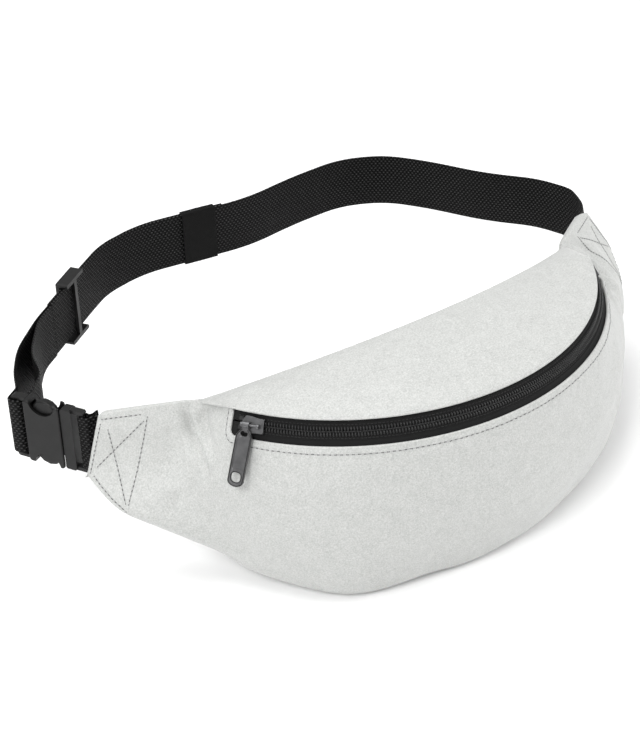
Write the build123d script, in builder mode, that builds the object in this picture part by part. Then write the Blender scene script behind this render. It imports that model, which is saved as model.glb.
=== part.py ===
"""Waist belt bag: a zipped fabric pouch on an adjustable webbing belt with a side-release buckle.

Frame: +Z up, front of the bag towards -Y, the wearer's left end of the bag towards +X.
The origin is the centre of the flat patch that the bag rests on, in millimetres.
"""
from build123d import *
import math
import os

os.makedirs("parts", exist_ok=True)

# ------------------------------------------------------------------ driving dimensions
# zip line: a circular arc in a plane tilted a little about X
ZIP_CY = 100.6          # arc centre, Y
ZIP_CZ = 111.6          # arc centre, Z
ZIP_R = 149.6           # arc radius, on the tape's outer face
ZIP_TILT = 3.1          # degrees, the arc's plane against the floor
TAPE_SLOPE = 63.4       # degrees, the tape's slope across the arc's plane
TAPE_HALF = 9.1         # visible half width of the zip
TAPE_HIDDEN = 0.8       # tape under each panel's edge
TAPE_T = 0.7
TAPE_UP = 5.9           # the upper tape, up to the top panel's turned edge
TAPE_END = 63.6         # degrees each side
COIL_W = 2.75
COIL_H = 1.9
COIL_START = -59.2      # degrees
COIL_STOP = 60.4

PANEL_T = 1.8           # outer fabric, foam and lining together
PANEL_LIFT = 2.1        # outer face of a panel above the tape's outer face

SLIDER_AT = -58.1       # degrees along the arc, zip closed
PULL_ANGLE = 0.0        # degrees, the puller leans from the tape's plane towards the belly
PULL_LEN = 36.0
PULL_TURN = 4.5          # degrees, the blade hangs a little askew, towards the buckle's side
PULL_W = 9.8
PULL_T = 1.7

WEB_W = 38.0            # belt webbing
WEB_T = 1.4
BELT_Z = 85.0           # height of the belt's middle
BUCKLE_M = (-192.5, 107.7, 83.5)     # middle of the male half's webbing bar
BUCKLE_DIR = 120.0      # degrees, direction that the female half leaves in
GLIDE_AT = (-127.0, 241.0, 84.5)
KEEPER_AT = (-14.0, 267.14, BELT_Z)

# ------------------------------------------------------------------ small helpers


def table(xs, ys, x):
    """Smooth curve through a table, flat outside it (Catmull-Rom)."""
    if x <= xs[0]:
        return ys[0]
    if x >= xs[-1]:
        return ys[-1]
    i = max(k for k in range(len(xs) - 1) if xs[k] <= x)
    h = xs[i + 1] - xs[i]

    def slope(k):
        if k <= 0 or k >= len(xs) - 1:
            a, b = (0, 1) if k <= 0 else (len(xs) - 2, len(xs) - 1)
            return (ys[b] - ys[a]) / (xs[b] - xs[a])
        return (ys[k + 1] - ys[k - 1]) / (xs[k + 1] - xs[k - 1])

    t = (x - xs[i]) / h
    a, b, c, d = 2 * t**3 - 3 * t**2 + 1, t**3 - 2 * t**2 + t, -2 * t**3 + 3 * t**2, t**3 - t**2
    return a * ys[i] + b * h * slope(i) + c * ys[i + 1] + d * h * slope(i + 1)


def polar(phi, rho, z):
    """Point at angle phi from straight ahead, about the zip arc's centre."""
    p = math.radians(phi)
    return (rho * math.sin(p), ZIP_CY - rho * math.cos(p), z)


def plus(p, q, k=1.0):
    return tuple(a + k * b for a, b in zip(p, q))


def unit(v):
    n = math.sqrt(sum(a * a for a in v))
    return tuple(a / n for a in v)


def grid_normals(grid):
    rows, cols = len(grid), len(grid[0])
    out = []
    for i in range(rows):
        line = []
        for j in range(cols):
            a, b = grid[max(i - 1, 0)][j], grid[min(i + 1, rows - 1)][j]
            c, d = grid[i][max(j - 1, 0)], grid[i][min(j + 1, cols - 1)]
            u, v = plus(b, a, -1.0), plus(d, c, -1.0)
            line.append(unit((u[1] * v[2] - u[2] * v[1], u[2] * v[0] - u[0] * v[2], u[0] * v[1] - u[1] * v[0])))
        out.append(line)
    return out


def skin(grid, thick, toward, tol=0.1):
    """Faces of a curved sheet: the outer surface through a grid, the inner one and the four edges."""
    normals = grid_normals(grid)
    rows, cols = len(grid), len(grid[0])
    mid = normals[rows // 2][cols // 2]
    sign = 1 if sum(a * b for a, b in zip(mid, toward)) > 0 else -1
    inner = [[plus(grid[i][j], normals[i][j], sign * thick) for j in range(cols)] for i in range(rows)]
    outer_face = Face.make_surface_from_array_of_points([[Vector(*p) for p in row] for row in grid], tol=tol)
    inner_face = Face.make_surface_from_array_of_points([[Vector(*p) for p in row] for row in inner], tol=tol)

    def edge_near(face, g, i, j):
        return min(face.edges(), key=lambda e: e.distance_to(Vertex(*g[i][j])))

    faces = [outer_face, inner_face]
    for i, j in ((0, cols // 2), (rows - 1, cols // 2), (rows // 2, 0), (rows // 2, cols - 1)):
        faces.append(Face.make_surface_from_curves(edge_near(outer_face, grid, i, j), edge_near(inner_face, inner, i, j)))
    return Solid(Shell(faces))


TILT = math.radians(ZIP_TILT)
SLOPE = math.radians(TAPE_SLOPE)
ZIP_C = (0.0, ZIP_CY, ZIP_CZ)
ZIP_N = (0.0, math.sin(TILT), math.cos(TILT))       # the arc's axis


def zip_dirs(phi):
    """Radial, tangent, across (towards the top panel) and outward directions of the zip."""
    p = math.radians(phi)
    rad = (math.sin(p), -math.cos(p) * math.cos(TILT), math.cos(p) * math.sin(TILT))
    tan = (math.cos(p), math.sin(p) * math.cos(TILT), -math.sin(p) * math.sin(TILT))
    across = plus(tuple(-math.cos(SLOPE) * a for a in rad), ZIP_N, math.sin(SLOPE))
    out = plus(tuple(math.sin(SLOPE) * a for a in rad), ZIP_N, math.cos(SLOPE))
    return rad, tan, across, out


def zip_point(phi, across=0.0, out=0.0):
    rad, tan, ac, ou = zip_dirs(phi)
    return plus(plus(plus(ZIP_C, rad, ZIP_R), ac, across), ou, out)


def zip_plane(phi):
    """Plane across the zip: X radial, Y along the arc's axis."""
    rad = zip_dirs(phi)[0]
    normal = Vector(*rad).cross(Vector(*ZIP_N))
    return Plane(origin=ZIP_C, x_dir=rad, z_dir=normal)


def rz(across, out):
    """Section coordinates (radius, height along the axis) of a point beside the zip line."""
    return (ZIP_R - across * math.cos(SLOPE) + out * math.sin(SLOPE), across * math.sin(SLOPE) + out * math.cos(SLOPE))


ZIP_AXIS = Axis(ZIP_C, tuple(-a for a in ZIP_N))
SPIN = Axis(ZIP_C, ZIP_N)

# ------------------------------------------------------------------ the pouch's outer surface
# back top edge: a shallow curve from corner to corner
def back_edge(t):
    return (138.9 * t, 26.5 + 40.1 * t * t, 136.3 - 24.4 * t * t)


CORNER = 76.2           # degrees, where the back top edge meets the wing


def back_edge_at(phi):
    """The back top edge's point at angle phi."""
    lo, hi = 0.0, 1.0
    for _ in range(40):
        mid = (lo + hi) / 2
        x, y, z = back_edge(mid)
        if math.degrees(math.atan2(x, ZIP_CY - y)) < abs(phi):
            lo = mid
        else:
            hi = mid
    return back_edge(math.copysign(lo, phi))


PHI = [0, 20, 38, 52, 63]
BASE = [-0.6, -0.6, -0.6, 1.2, 6]             # height of the underside
LOW_Z = [7, 7, 7, 9, 16]                      # height of the low front
# radius of the belly and of the low front, at -X and at +X: the filled pouch isn't quite symmetric
BELLY = {-1: [160, 160, 164, 166, 164], 1: [160, 161, 165, 167, 171]}
LOW = {-1: [143, 147.5, 157, 155.5, 158], 1: [143, 145, 150.5, 159, 166]}
SEAM_X = [0, 17.6, 37.3, 58.9, 84, 105.6, 130, 162.5, 196]   # underside's back seam
SEAM_Z = [-0.6, -0.6, -0.6, 1.2, 6, 18, 31.5, 49.5, 68.5]
WING_N = (0.57, -0.82)                        # outward from a wing's front face, at +X
WING_THICK = 6.9                              # front face to back face of a wing


def seam_line(x):
    """Back seam of the underside, at +X."""
    return (x, 52.0 + 46.0 * (x / 196.0) ** 2.4, table(SEAM_X, SEAM_Z, x))


def body_column(phi, side):
    """Control points down the front of the pouch: zip edge, belly, underside, back seam."""
    base, belly = table(PHI, BASE, phi), table(PHI, BELLY[side], phi)
    low, low_z = table(PHI, LOW[side], phi), table(PHI, LOW_Z, phi)
    upper = zip_point(phi, 5.5, PANEL_LIFT)
    edge = zip_point(phi, -TAPE_HALF, PANEL_LIFT)
    r1 = math.hypot(edge[0], ZIP_CY - edge[1])
    h = edge[2] - base
    seam = seam_line(table(PHI, SEAM_X[:5], phi))
    front = [polar(phi, r1 + 0.66 * (belly - r1), edge[2] - 0.19 * h), polar(phi, belly, base + 0.58 * h),
             polar(phi, 0.25 * low + 0.75 * belly + 1.0, base + 0.34 * h), polar(phi, low, low_z), polar(phi, low - 17, base + 0.3)]
    mid = tuple((u + v) / 2 for u, v in zip(front[-1], seam))
    return [upper, edge] + front + [(mid[0], mid[1], base), seam]


def wing_column(top, bottom):
    """Control points down a wing: flat from its top edge to its bottom edge, and a short turn under."""
    pts = [tuple(u + (v - u) * t for u, v in zip(top, bottom)) for t in (0, 0.2, 0.4, 0.6, 0.8, 0.93, 1.0)]
    back = plus(bottom, (-WING_N[0], -WING_N[1], 0.0), 3.2)
    return pts + [tuple((u + v) / 2 for u, v in zip(pts[-1], back)), back]


def ray_column(phi, top, rows, mid, seam_x):
    return [top] + [polar(phi, r, z) for r, z in rows] + [mid, seam_line(seam_x)]


STATIONS = [0, 10, 20, 30, 38, 45, 52, 58, 62.5, 69.5, 76.2, 83, 90]
COLUMNS = {
    -1: [body_column(a, -1) for a in STATIONS[:9]] + [
        ray_column(69.5, (134.2, 50.8, 115.2), [(149.5, 99.5), (156.5, 88), (162, 70), (165.5, 50), (168, 34), (158, 20.5)], (130, 55.5, 20.5), 112),
        ray_column(76.2, (138.9, 66.4, 110.8), [(146.5, 99), (151.5, 88), (160, 74), (170, 60), (181, 46.5), (174, 36)], (155, 66, 36), 140),
        ray_column(83, (163, 83.5, 107.2), [(165.5, 98), (168.5, 90), (174, 80), (183, 69), (193.5, 57.5), (192.5, 52)], (183.5, 82, 54), 176),
        wing_column((187.2, 98.7, 103.4), (199.9, 96.0, 68.5))],
    1: [body_column(a, 1) for a in STATIONS[:9]] + [
        ray_column(69.5, (134.2, 50.8, 115.2), [(150.5, 99.5), (161, 88), (173, 72), (175, 52), (171, 34), (159, 20.5)], (130, 55.5, 20.5), 112),
        ray_column(76.2, (138.9, 66.4, 110.8), [(147.5, 99), (156, 88), (172, 74), (182, 60), (185, 46.5), (175, 36)], (155, 66, 36), 140),
        ray_column(83, (163, 83.5, 107.2), [(166.5, 98), (172, 90), (181, 79), (190, 68), (196.5, 57.5), (193.5, 52)], (183.5, 82, 54), 176),
        wing_column((188.0, 99.8, 103.6), (204.5, 96.8, 67.0))],
}
KNOTS = [0, 18, 36, 58, 82, 104, 124, 150, 176]


def front_column(a, n=19):
    """Points down the outer face of the front panel at station a (negative towards -X)."""
    s, a = (-1 if a < 0 else 1), abs(a)
    net = body_column(a, s) if a <= 58 else [tuple(table(STATIONS, [c[k][m] for c in COLUMNS[s]], a) for m in range(3)) for k in range(9)]
    out = []
    for i in range(n):
        t = KNOTS[-1] * i / (n - 1)
        q = tuple(table(KNOTS, [c[m] for c in net], t) for m in range(3))
        out.append((s * q[0], q[1], q[2]))
    return out


def back_top(t):
    """Top edge of the back panel's outer face, by a parameter from -1.36 to 1.36 (corners at +-1)."""
    s = math.copysign(1.0, t)
    if abs(t) <= 0.93:
        return back_edge(t)
    xs = [0.8, 0.93, 1.1, 1.36]
    pts = [back_edge(0.8), back_edge(0.93), (146.1, 77.9, 110.0), (182.5, 105.4, 103.4)]
    return tuple((s if m == 0 else 1.0) * table(xs, [q[m] for q in pts], abs(t)) for m in range(3))


def back_low(t):
    """Bottom edge of the back panel's outer face: on the underside's seam, and behind the wings."""
    s, a = math.copysign(1.0, t), abs(t)
    x = table([0, 0.5, 1.0, 1.36], [0, 72, 137, 190.5], a)
    q = seam_line(x)
    k = min(1.0, max(0.0, (a - 0.85) / 0.4))
    k = k * k * (3 - 2 * k)
    return (s * x, q[1] - 0.3 + (WING_THICK - 2.2) * k, q[2] + 3.6 - 2.3 * k)


# ------------------------------------------------------------------ pouch panels
front_grid = [front_column(-90 + 180.0 * i / 72) for i in range(73)]

with BuildPart() as front_panel:
    add(skin(front_grid, PANEL_T, (0, 1, 0.2), tol=0.08))
    # the resting patch is flat
    with Locations((0, 0, -10)):
        Box(500, 400, 20, mode=Mode.SUBTRACT)
    # window for the zip
    with BuildSketch(zip_plane(-TAPE_END - 0.7)):
        with BuildLine():
            Polyline(rz(-TAPE_HALF, -5), rz(-TAPE_HALF, 7), rz(30, 7), rz(30, -5), close=True)
        make_face()
    revolve(axis=SPIN, revolution_arc=2 * TAPE_END + 1.4, mode=Mode.SUBTRACT)
front_panel.part.label = "front_panel"

top_grid = []
for i in range(45):
    phi = -74.2 + 148.4 * i / 44
    a = abs(phi)
    if a <= TAPE_END:
        u = zip_point(phi, TAPE_HALF - 1.1, PANEL_LIFT)
    else:
        s = math.copysign(1.0, phi)
        t = (a - TAPE_END) / (CORNER - TAPE_END)
        u = tuple(p + (q - p) * t for p, q in zip(zip_point(s * TAPE_END, TAPE_HALF - 1.1, PANEL_LIFT), (s * 139.2, 65.6, 113.7)))
    b = back_edge_at(phi)
    b = (b[0], b[1], b[2] + 0.4)
    wide = math.dist(u, b)
    row = []
    for j in range(9):
        t = j / 8
        crown = 0.055 * wide * 4 * t * (1 - t)
        p = tuple(m + (n - m) * t for m, n in zip(u, b))
        row.append((p[0], p[1] - 0.1 * crown, p[2] + crown))
    top_grid.append(row)
with BuildPart() as top_panel:
    add(skin(top_grid, PANEL_T, (0, 0, -1)))
top_panel.part.label = "top_panel"

back_grid = []
for i in range(45):
    t = -1.31 + 2.62 * i / 44
    hi, lo = back_top(t), back_low(t)
    hi = plus(hi, unit(tuple(q - p for p, q in zip(hi, lo))), 3.4)
    row = []
    for j in range(9):
        k = j / 8
        p = tuple(m + (n - m) * k for m, n in zip(hi, lo))
        row.append((p[0], p[1] + 3.0 * 4 * k * (1 - k) * max(0.0, 1 - t * t / 1.2), p[2]))
    back_grid.append(row)
with BuildPart() as back_panel:
    add(skin(back_grid, PANEL_T, (0, -1, 0)))
back_panel.part.label = "back_panel"

# binding tapes over the raw seam edges inside the pouch
bind_grid = []
for i in range(31):
    t = -0.8 + 1.6 * i / 30
    p = back_top(t)
    bind_grid.append([(p[0], p[1] - 3.2, p[2] - 5.4), (p[0], p[1] - 6.2, p[2] - 9.4), (p[0], p[1] - 9.2, p[2] - 13.4)])
with BuildPart() as top_seam_binding:
    add(skin(bind_grid, 1.4, (0, -1, 0)))
top_seam_binding.part.label = "top_seam_binding"

low_grid = []
for i in range(31):
    x = -100 + 200 * i / 30
    q = seam_line(abs(x))
    low_grid.append([(x, q[1] - 3.6, q[2] + 4.0), (x, q[1] - 7.6, q[2] + 6.6), (x, q[1] - 11.6, q[2] + 9.2)])
with BuildPart() as bottom_seam_binding:
    add(skin(low_grid, 1.4, (0, 0, 1)))
bottom_seam_binding.part.label = "bottom_seam_binding"

# ------------------------------------------------------------------ zip tapes and coils


with BuildPart() as zip_tape_upper:
    with BuildSketch(zip_plane(-TAPE_END + 0.8)):
        with BuildLine():
            Polyline(rz(1.0, 0), rz(TAPE_UP, 0), rz(TAPE_UP, -TAPE_T), rz(1.0, -TAPE_T), close=True)
        make_face()
    revolve(axis=SPIN, revolution_arc=2 * TAPE_END - 1.6)
zip_tape_upper.part.label = "zip_tape_upper"

with BuildPart() as zip_tape_lower:
    with BuildSketch(zip_plane(-TAPE_END + 0.8)):
        with BuildLine():
            Polyline(rz(-1.0, 0), rz(-TAPE_HALF - TAPE_HIDDEN, 0), rz(-TAPE_HALF - TAPE_HIDDEN, -TAPE_T), rz(-1.0, -TAPE_T), close=True)
        make_face()
    revolve(axis=SPIN, revolution_arc=2 * TAPE_END - 1.6)
zip_tape_lower.part.label = "zip_tape_lower"

with BuildPart() as zip_coil_upper:
    with BuildSketch(zip_plane(COIL_START)):
        with BuildLine():
            Polyline(rz(0.15, 0.05), rz(COIL_W, 0.05), rz(COIL_W, 0.05 + 0.6 * COIL_H), rz(COIL_W - 0.7, 0.05 + COIL_H), rz(0.15, 0.05 + COIL_H), close=True)
        make_face()
    revolve(axis=SPIN, revolution_arc=COIL_STOP - COIL_START)
zip_coil_upper.part.label = "zip_coil_upper"

with BuildPart() as zip_coil_lower:
    with BuildSketch(zip_plane(COIL_START)):
        with BuildLine():
            Polyline(rz(-0.15, 0.05), rz(-COIL_W, 0.05), rz(-COIL_W, 0.05 + 0.6 * COIL_H), rz(-COIL_W + 0.7, 0.05 + COIL_H), rz(-0.15, 0.05 + COIL_H), close=True)
        make_face()
    revolve(axis=SPIN, revolution_arc=COIL_STOP - COIL_START)
zip_coil_lower.part.label = "zip_coil_lower"


def zip_face_plane(phi, lift=0.0):
    """Plane on the tape's outer face: X along the zip, Y across towards the top panel."""
    rad, tan, ac, ou = zip_dirs(phi)
    return Plane(origin=zip_point(phi, 0, lift), x_dir=tan, z_dir=ou)


# two top stops, one on each tape just past the closed slider, and one bottom stop over both coils
STOP_AT = SLIDER_AT - 3.3
with BuildPart() as zip_top_stops:
    with BuildSketch(zip_face_plane(STOP_AT, 0.05)):
        with Locations((0, 2.6), (0, -2.6)):
            RectangleRounded(2.6, 2.4, 0.5)
    extrude(amount=1.9)
zip_top_stops.part.label = "zip_top_stops"

with BuildPart() as zip_bottom_stop:
    with BuildSketch(zip_face_plane(COIL_STOP + 0.75, 0.05)):
        RectangleRounded(3.0, 7.0, 0.6)
    extrude(amount=2.3)
zip_bottom_stop.part.label = "zip_bottom_stop"

# ------------------------------------------------------------------ slider, bail and puller
S0 = zip_face_plane(SLIDER_AT)


def on_slider(z):
    return S0.offset(z)


with BuildPart() as zip_slider_body:
    # top plate, wider at the mouth, which faces the top stops
    with BuildSketch(on_slider(2.4)):
        with BuildLine():
            Polyline((-7.0, -2.2), (-5.0, -4.9), (-1.5, -4.9), (2.0, -4.3), (5.4, -4.2), (6.2, -3.2),
                     (6.2, 3.2), (5.4, 4.2), (2.0, 4.3), (-1.5, 4.9), (-5.0, 4.9), (-7.0, 2.2), close=True)
        make_face()
    extrude(amount=1.2)
    # bottom plate, behind the tapes
    with BuildSketch(on_slider(-2.5)):
        with BuildLine():
            Polyline((-7.0, -2.2), (-5.0, -4.9), (-1.5, -4.9), (2.0, -4.3), (5.4, -4.2), (6.2, -3.2),
                     (6.2, 3.2), (5.4, 4.2), (2.0, 4.3), (-1.5, 4.9), (-5.0, 4.9), (-7.0, 2.2), close=True)
        make_face()
    extrude(amount=1.2)
    # side flanges of the top plate
    with BuildSketch(on_slider(0.4)):
        with Locations((2.6, 3.75), (2.6, -3.75)):
            Rectangle(6.6, 0.9)
    extrude(amount=2.1)
    # side flanges of the bottom plate
    with BuildSketch(on_slider(-1.4)):
        with Locations((2.6, 3.75), (2.6, -3.75)):
            Rectangle(6.6, 0.9)
    extrude(amount=0.4)
    # post between the two plates, in the gap between the tapes
    with BuildSketch(on_slider(-2.0)):
        with BuildLine():
            Polyline((-5.8, -0.62), (-4.0, -0.62), (-3.5, 0), (-4.0, 0.62), (-5.8, 0.62), close=True)
        make_face()
    extrude(amount=5.0)
zip_slider_body.part.label = "zip_slider_body"

BAIL_Z = 5.8
with BuildPart() as zip_slider_bail:
    # arch standing on the top plate, with a round bar between its posts
    with BuildSketch(on_slider(3.6)):
        with Locations((3.75, 0), (-6.3, 0)):
            RectangleRounded(1.1, 2.8, 0.4)
    extrude(amount=2.0)
    bar_plane = Plane(origin=S0.from_local_coords((-6.85, 0, BAIL_Z)), x_dir=S0.y_dir, z_dir=S0.x_dir)
    with BuildSketch(bar_plane):
        Circle(0.75)
    extrude(amount=11.2)
    with BuildSketch(bar_plane):
        Circle(1.4)
    extrude(amount=1.1)
    cap_plane = Plane(origin=S0.from_local_coords((3.1, 0, BAIL_Z)), x_dir=S0.y_dir, z_dir=S0.x_dir)
    with BuildSketch(cap_plane):
        Circle(1.4)
    extrude(amount=1.3)
zip_slider_bail.part.label = "zip_slider_bail"

# puller: a knuckle round the bail's bar and a flat blade with a raised rim and a window
_lean = math.radians(PULL_ANGLE)
PIVOT = S0.from_local_coords((-3.4, 0, BAIL_Z))
_down = (-math.cos(_lean) * S0.y_dir - math.sin(_lean) * S0.z_dir)
_face = (math.cos(_lean) * S0.z_dir - math.sin(_lean) * S0.y_dir)
# blade plane: X along the zip, Y up the blade towards the pivot, Z outward
K0 = Plane(origin=PIVOT, x_dir=S0.x_dir, z_dir=_face)
_turn = math.radians(PULL_TURN)
P0 = Plane(origin=PIVOT, x_dir=math.cos(_turn) * K0.x_dir - math.sin(_turn) * K0.y_dir, z_dir=_face)
with BuildPart() as zip_puller:
    knuckle_plane = Plane(origin=K0.from_local_coords((-2.0, 0, 0)), x_dir=K0.y_dir, z_dir=K0.x_dir)
    with BuildSketch(knuckle_plane):
        Circle(1.9)
    extrude(amount=4.0)
    with BuildSketch(P0.offset(-0.5 * PULL_T)):
        with BuildLine():
            l1 = Polyline((-2.0, -0.6), (-2.0, -2.2), (-PULL_W / 2, -6.5), (-PULL_W / 2, -PULL_LEN + 3.0))
            l2 = ThreePointArc(l1 @ 1, (0, -PULL_LEN), (PULL_W / 2, -PULL_LEN + 3.0))
            l3 = Polyline(l2 @ 1, (PULL_W / 2, -6.5), (2.0, -2.2), (2.0, -0.6), (-2.0, -0.6))
        make_face()
    extrude(amount=PULL_T)
    # shallow recess inside the rim, on both faces
    with BuildSketch(P0.offset(0.5 * PULL_T - 0.35)):
        with Locations((0, -17.6)):
            RectangleRounded(PULL_W - 2.6, 17.2, 1.0)
    extrude(amount=1.0, mode=Mode.SUBTRACT)
    with BuildSketch(P0.offset(-0.5 * PULL_T - 1.0)):
        with Locations((0, -17.6)):
            RectangleRounded(PULL_W - 2.6, 17.2, 1.0)
    extrude(amount=1.35, mode=Mode.SUBTRACT)
    # window at the lower end
    with BuildSketch(P0.offset(-3.0)):
        with Locations((0, -30.6)):
            RectangleRounded(6.6, 6.2, 2.5)
    extrude(amount=6.0, mode=Mode.SUBTRACT)
    # small eye under the knuckle
    with BuildSketch(P0.offset(-3.0)):
        with Locations((0, -5.2)):
            SlotOverall(4.6, 3.0, rotation=0)
    extrude(amount=6.0, mode=Mode.SUBTRACT)
    # hole of the knuckle
    with BuildSketch(Plane(origin=P0.from_local_coords((-4.0, 0, 0)), x_dir=P0.y_dir, z_dir=P0.x_dir)):
        Circle(1.02)
    extrude(amount=8.0, mode=Mode.SUBTRACT)
zip_puller.part.label = "zip_puller"

# ------------------------------------------------------------------ belt webbing

def ribbon(path, lean, off, width, height, z=BELT_Z):
    """Grid of a webbing strip: centre line in plan, lean in degrees at each point, moved sideways by off."""
    grid = []
    for i, p in enumerate(path):
        a, b = path[max(i - 1, 0)], path[min(i + 1, len(path) - 1)]
        d = unit((b[0] - a[0], b[1] - a[1]))
        side = (-d[1], d[0])
        l = math.radians(lean[i])
        c = (p[0] + side[0] * off * math.cos(l), p[1] + side[1] * off * math.cos(l), z - off * math.sin(l))
        w = (side[0] * math.sin(l), side[1] * math.sin(l), math.cos(l))
        grid.append([plus(c, w, k * width) for k in (-0.5, -0.25, 0.0, 0.25, 0.5)])
    return grid


def curve(pts, n):
    """n points along a smooth plan curve through pts."""
    d = [0.0]
    for p, q in zip(pts, pts[1:]):
        d.append(d[-1] + math.dist(p, q))
    return [tuple(table(d, [q[m] for q in pts], d[-1] * i / (n - 1)) for m in range(2)) for i in range(n)]


WING_LEAN = 13.5


def offset_path(pts, radii, off):
    """The same path moved sideways: to its left where off is positive. Returns points and radii."""
    n = len(pts)
    dirs = [unit((pts[i + 1][0] - pts[i][0], pts[i + 1][1] - pts[i][1])) for i in range(n - 1)]
    out, rr = [], []
    for i in range(n):
        if i == 0 or i == n - 1:
            d = dirs[0] if i == 0 else dirs[-1]
            out.append((pts[i][0] - d[1] * off, pts[i][1] + d[0] * off))
            continue
        a, b = dirs[i - 1], dirs[i]
        turn = a[0] * b[1] - a[1] * b[0]
        m = (-(a[1] + b[1]), a[0] + b[0])
        k = off / (m[0] * -a[1] + m[1] * a[0])
        out.append((pts[i][0] + m[0] * k, pts[i][1] + m[1] * k))
        rr.append(radii[i - 1] - off if turn > 0 else radii[i - 1] + off)
    return out, rr


def auto_radii(pts, cap=1e9):
    """0.45 of the shorter run over the tangent of half the turn, at each corner."""
    out = []
    for i in range(1, len(pts) - 1):
        a = math.dist(pts[i - 1], pts[i])
        b = math.dist(pts[i], pts[i + 1])
        u, v = unit((pts[i][0] - pts[i - 1][0], pts[i][1] - pts[i - 1][1])), unit((pts[i + 1][0] - pts[i][0], pts[i + 1][1] - pts[i][1]))
        ang = math.acos(max(-1, min(1, u[0] * v[0] + u[1] * v[1])))
        out.append(min(cap, 0.45 * min(a, b) / math.tan(ang / 2)))
    return out


# the belt's route in plan, from inside the wing at +X, round the back, through the keeper and the
# tri-glide, and on towards the buckle; the runs through the keeper and the tri-glide are straight
ROUTE = [(201.5, 120.0), (204.0, 134.0), (195.5, 158.0), (172.0, 187.0), (151.5, 225.0), (132.0, 252.0),
         (103.0, 266.5), (62.0, 266.0), (22.0, 261.0), (-56.0, 274.3), (-89.0, 267.2), (-110.0, 252.95), (-150.9, 224.2)]
ROUTE_R = auto_radii(ROUTE)
print("belt radii", [round(r) for r in ROUTE_R])
print("belt length", round(sum(math.dist(a, b) for a, b in zip(ROUTE, ROUTE[1:]))))
GAP = 0.15
# main layer on the wearer's side, tail layer outside it
main_in, main_in_r = offset_path(ROUTE, ROUTE_R, GAP + WEB_T)
main_out, main_out_r = offset_path(ROUTE, ROUTE_R, GAP)
# the first stretch comes out of the wing leaning with it, and turns upright
_s0 = unit((ROUTE[1][0] - ROUTE[0][0], ROUTE[1][1] - ROUTE[0][1]))
_root = (ROUTE[0][0] - _s0[1] * (GAP + WEB_T), ROUTE[0][1] + _s0[0] * (GAP + WEB_T))
anchor_path = curve([(166.9, 85.2), (178.3, 93.1), (189.5, 101.3), (195.6, 107.2), (198.8, 113.4),
                     (_root[0] - _s0[0] * 0.1, _root[1] - _s0[1] * 0.1)], 24)
anchor_lean = [WING_LEAN * min(1.0, max(0.0, (23 - i) / 13)) ** 1.0 for i in range(24)]
with BuildPart() as waist_strap:
    add(skin(ribbon(anchor_path, anchor_lean, 0.0, WEB_W, 0), WEB_T, (1, -1, 0), tol=0.03))
    with BuildSketch(Plane.XY.offset(BELT_Z - WEB_W / 2)):
        with BuildLine():
            a = FilletPolyline(*main_in, radius=main_in_r)
            b = FilletPolyline(*main_out, radius=main_out_r)
            Line(a @ 0, b @ 0)
            Line(a @ 1, b @ 1)
        make_face()
    extrude(amount=WEB_W)
waist_strap.part.label = "waist_strap"

TAIL = [(4.0, 264.07)] + ROUTE[9:]
TAIL_R = ROUTE_R[8:]
tail_in, tail_in_r = offset_path(TAIL, TAIL_R, -GAP)
tail_out, tail_out_r = offset_path(TAIL, TAIL_R, -GAP - WEB_T)
with BuildPart() as strap_tail:
    with BuildSketch(Plane.XY.offset(BELT_Z - WEB_W / 2)):
        with BuildLine():
            a = FilletPolyline(*tail_in, radius=tail_in_r)
            b = FilletPolyline(*tail_out, radius=tail_out_r)
            Line(a @ 0, b @ 0)
            Line(a @ 1, b @ 1)
        make_face()
    extrude(amount=WEB_W)
strap_tail.part.label = "strap_tail"

# ------------------------------------------------------------------ side-release buckle
_bd = math.radians(BUCKLE_DIR)
B_X = (math.cos(_bd), math.sin(_bd), 0.0)                # along the buckle, towards the female half
B_Z = (math.sin(_bd), -math.cos(_bd), 0.0)               # towards the wearer
B0 = Plane(origin=BUCKLE_M, x_dir=B_X, z_dir=B_Z)        # Y of this plane is up


def b_at(x, z):
    """Plan position of a point in the buckle's frame."""
    return (BUCKLE_M[0] + B_X[0] * x + B_Z[0] * z, BUCKLE_M[1] + B_X[1] * x + B_Z[1] * z)


BODY_X0, BODY_X1, BODY_H, BODY_T = 14.0, 38.5, 44.0, 9.0
with BuildPart() as buckle_male_frame:
    # base block that closes the female half's mouth
    with BuildSketch(B0.offset(-3.4)):
        with Locations((9.8, 0)):
            RectangleRounded(7.4, 43.0, 1.5)
    extrude(amount=6.8)
    # arms out to the webbing bar
    with BuildSketch(B0.offset(-2.0)):
        with Locations((3.2, 20.6), (3.2, -20.6)):
            RectangleRounded(9.6, 2.6, 1.2)
    extrude(amount=4.0)
    # webbing bar
    with BuildSketch(Plane(origin=B0.from_local_coords((0, -20.6, 0)), x_dir=B0.z_dir, z_dir=B0.y_dir)):
        Circle(1.5)
    extrude(amount=41.2)
    # guide tongue
    with BuildSketch(B0.offset(-1.6)):
        with Locations((20.0, 0)):
            RectangleRounded(16.0, 6.0, 1.2)
    extrude(amount=3.2)
buckle_male_frame.part.label = "buckle_male_frame"

NOTCH_X, NOTCH_R = 25.5, 9.0


def prong(sign):
    """Outline of one prong: a spring arm from the base with a rounded button in the notch."""
    return [(13.9, sign * 8.0), (13.9, sign * 10.6), (19.0, sign * 14.6), (17.6, sign * 17.2), (18.6, sign * 19.6), (21.0, sign * 21.8),
            (25.5, sign * 22.9), (30.0, sign * 21.6), (32.6, sign * 18.8), (33.4, sign * 15.2), (32.6, sign * 13.4), (26.0, sign * 13.0), (21.0, sign * 11.6), (17.0, sign * 9.0)]


with BuildPart() as upper_release_prong:
    with BuildSketch(B0.offset(-2.5)):
        with BuildLine():
            Polyline(*prong(1), close=True)
        make_face()
    extrude(amount=5.0)
upper_release_prong.part.label = "upper_release_prong"

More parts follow.
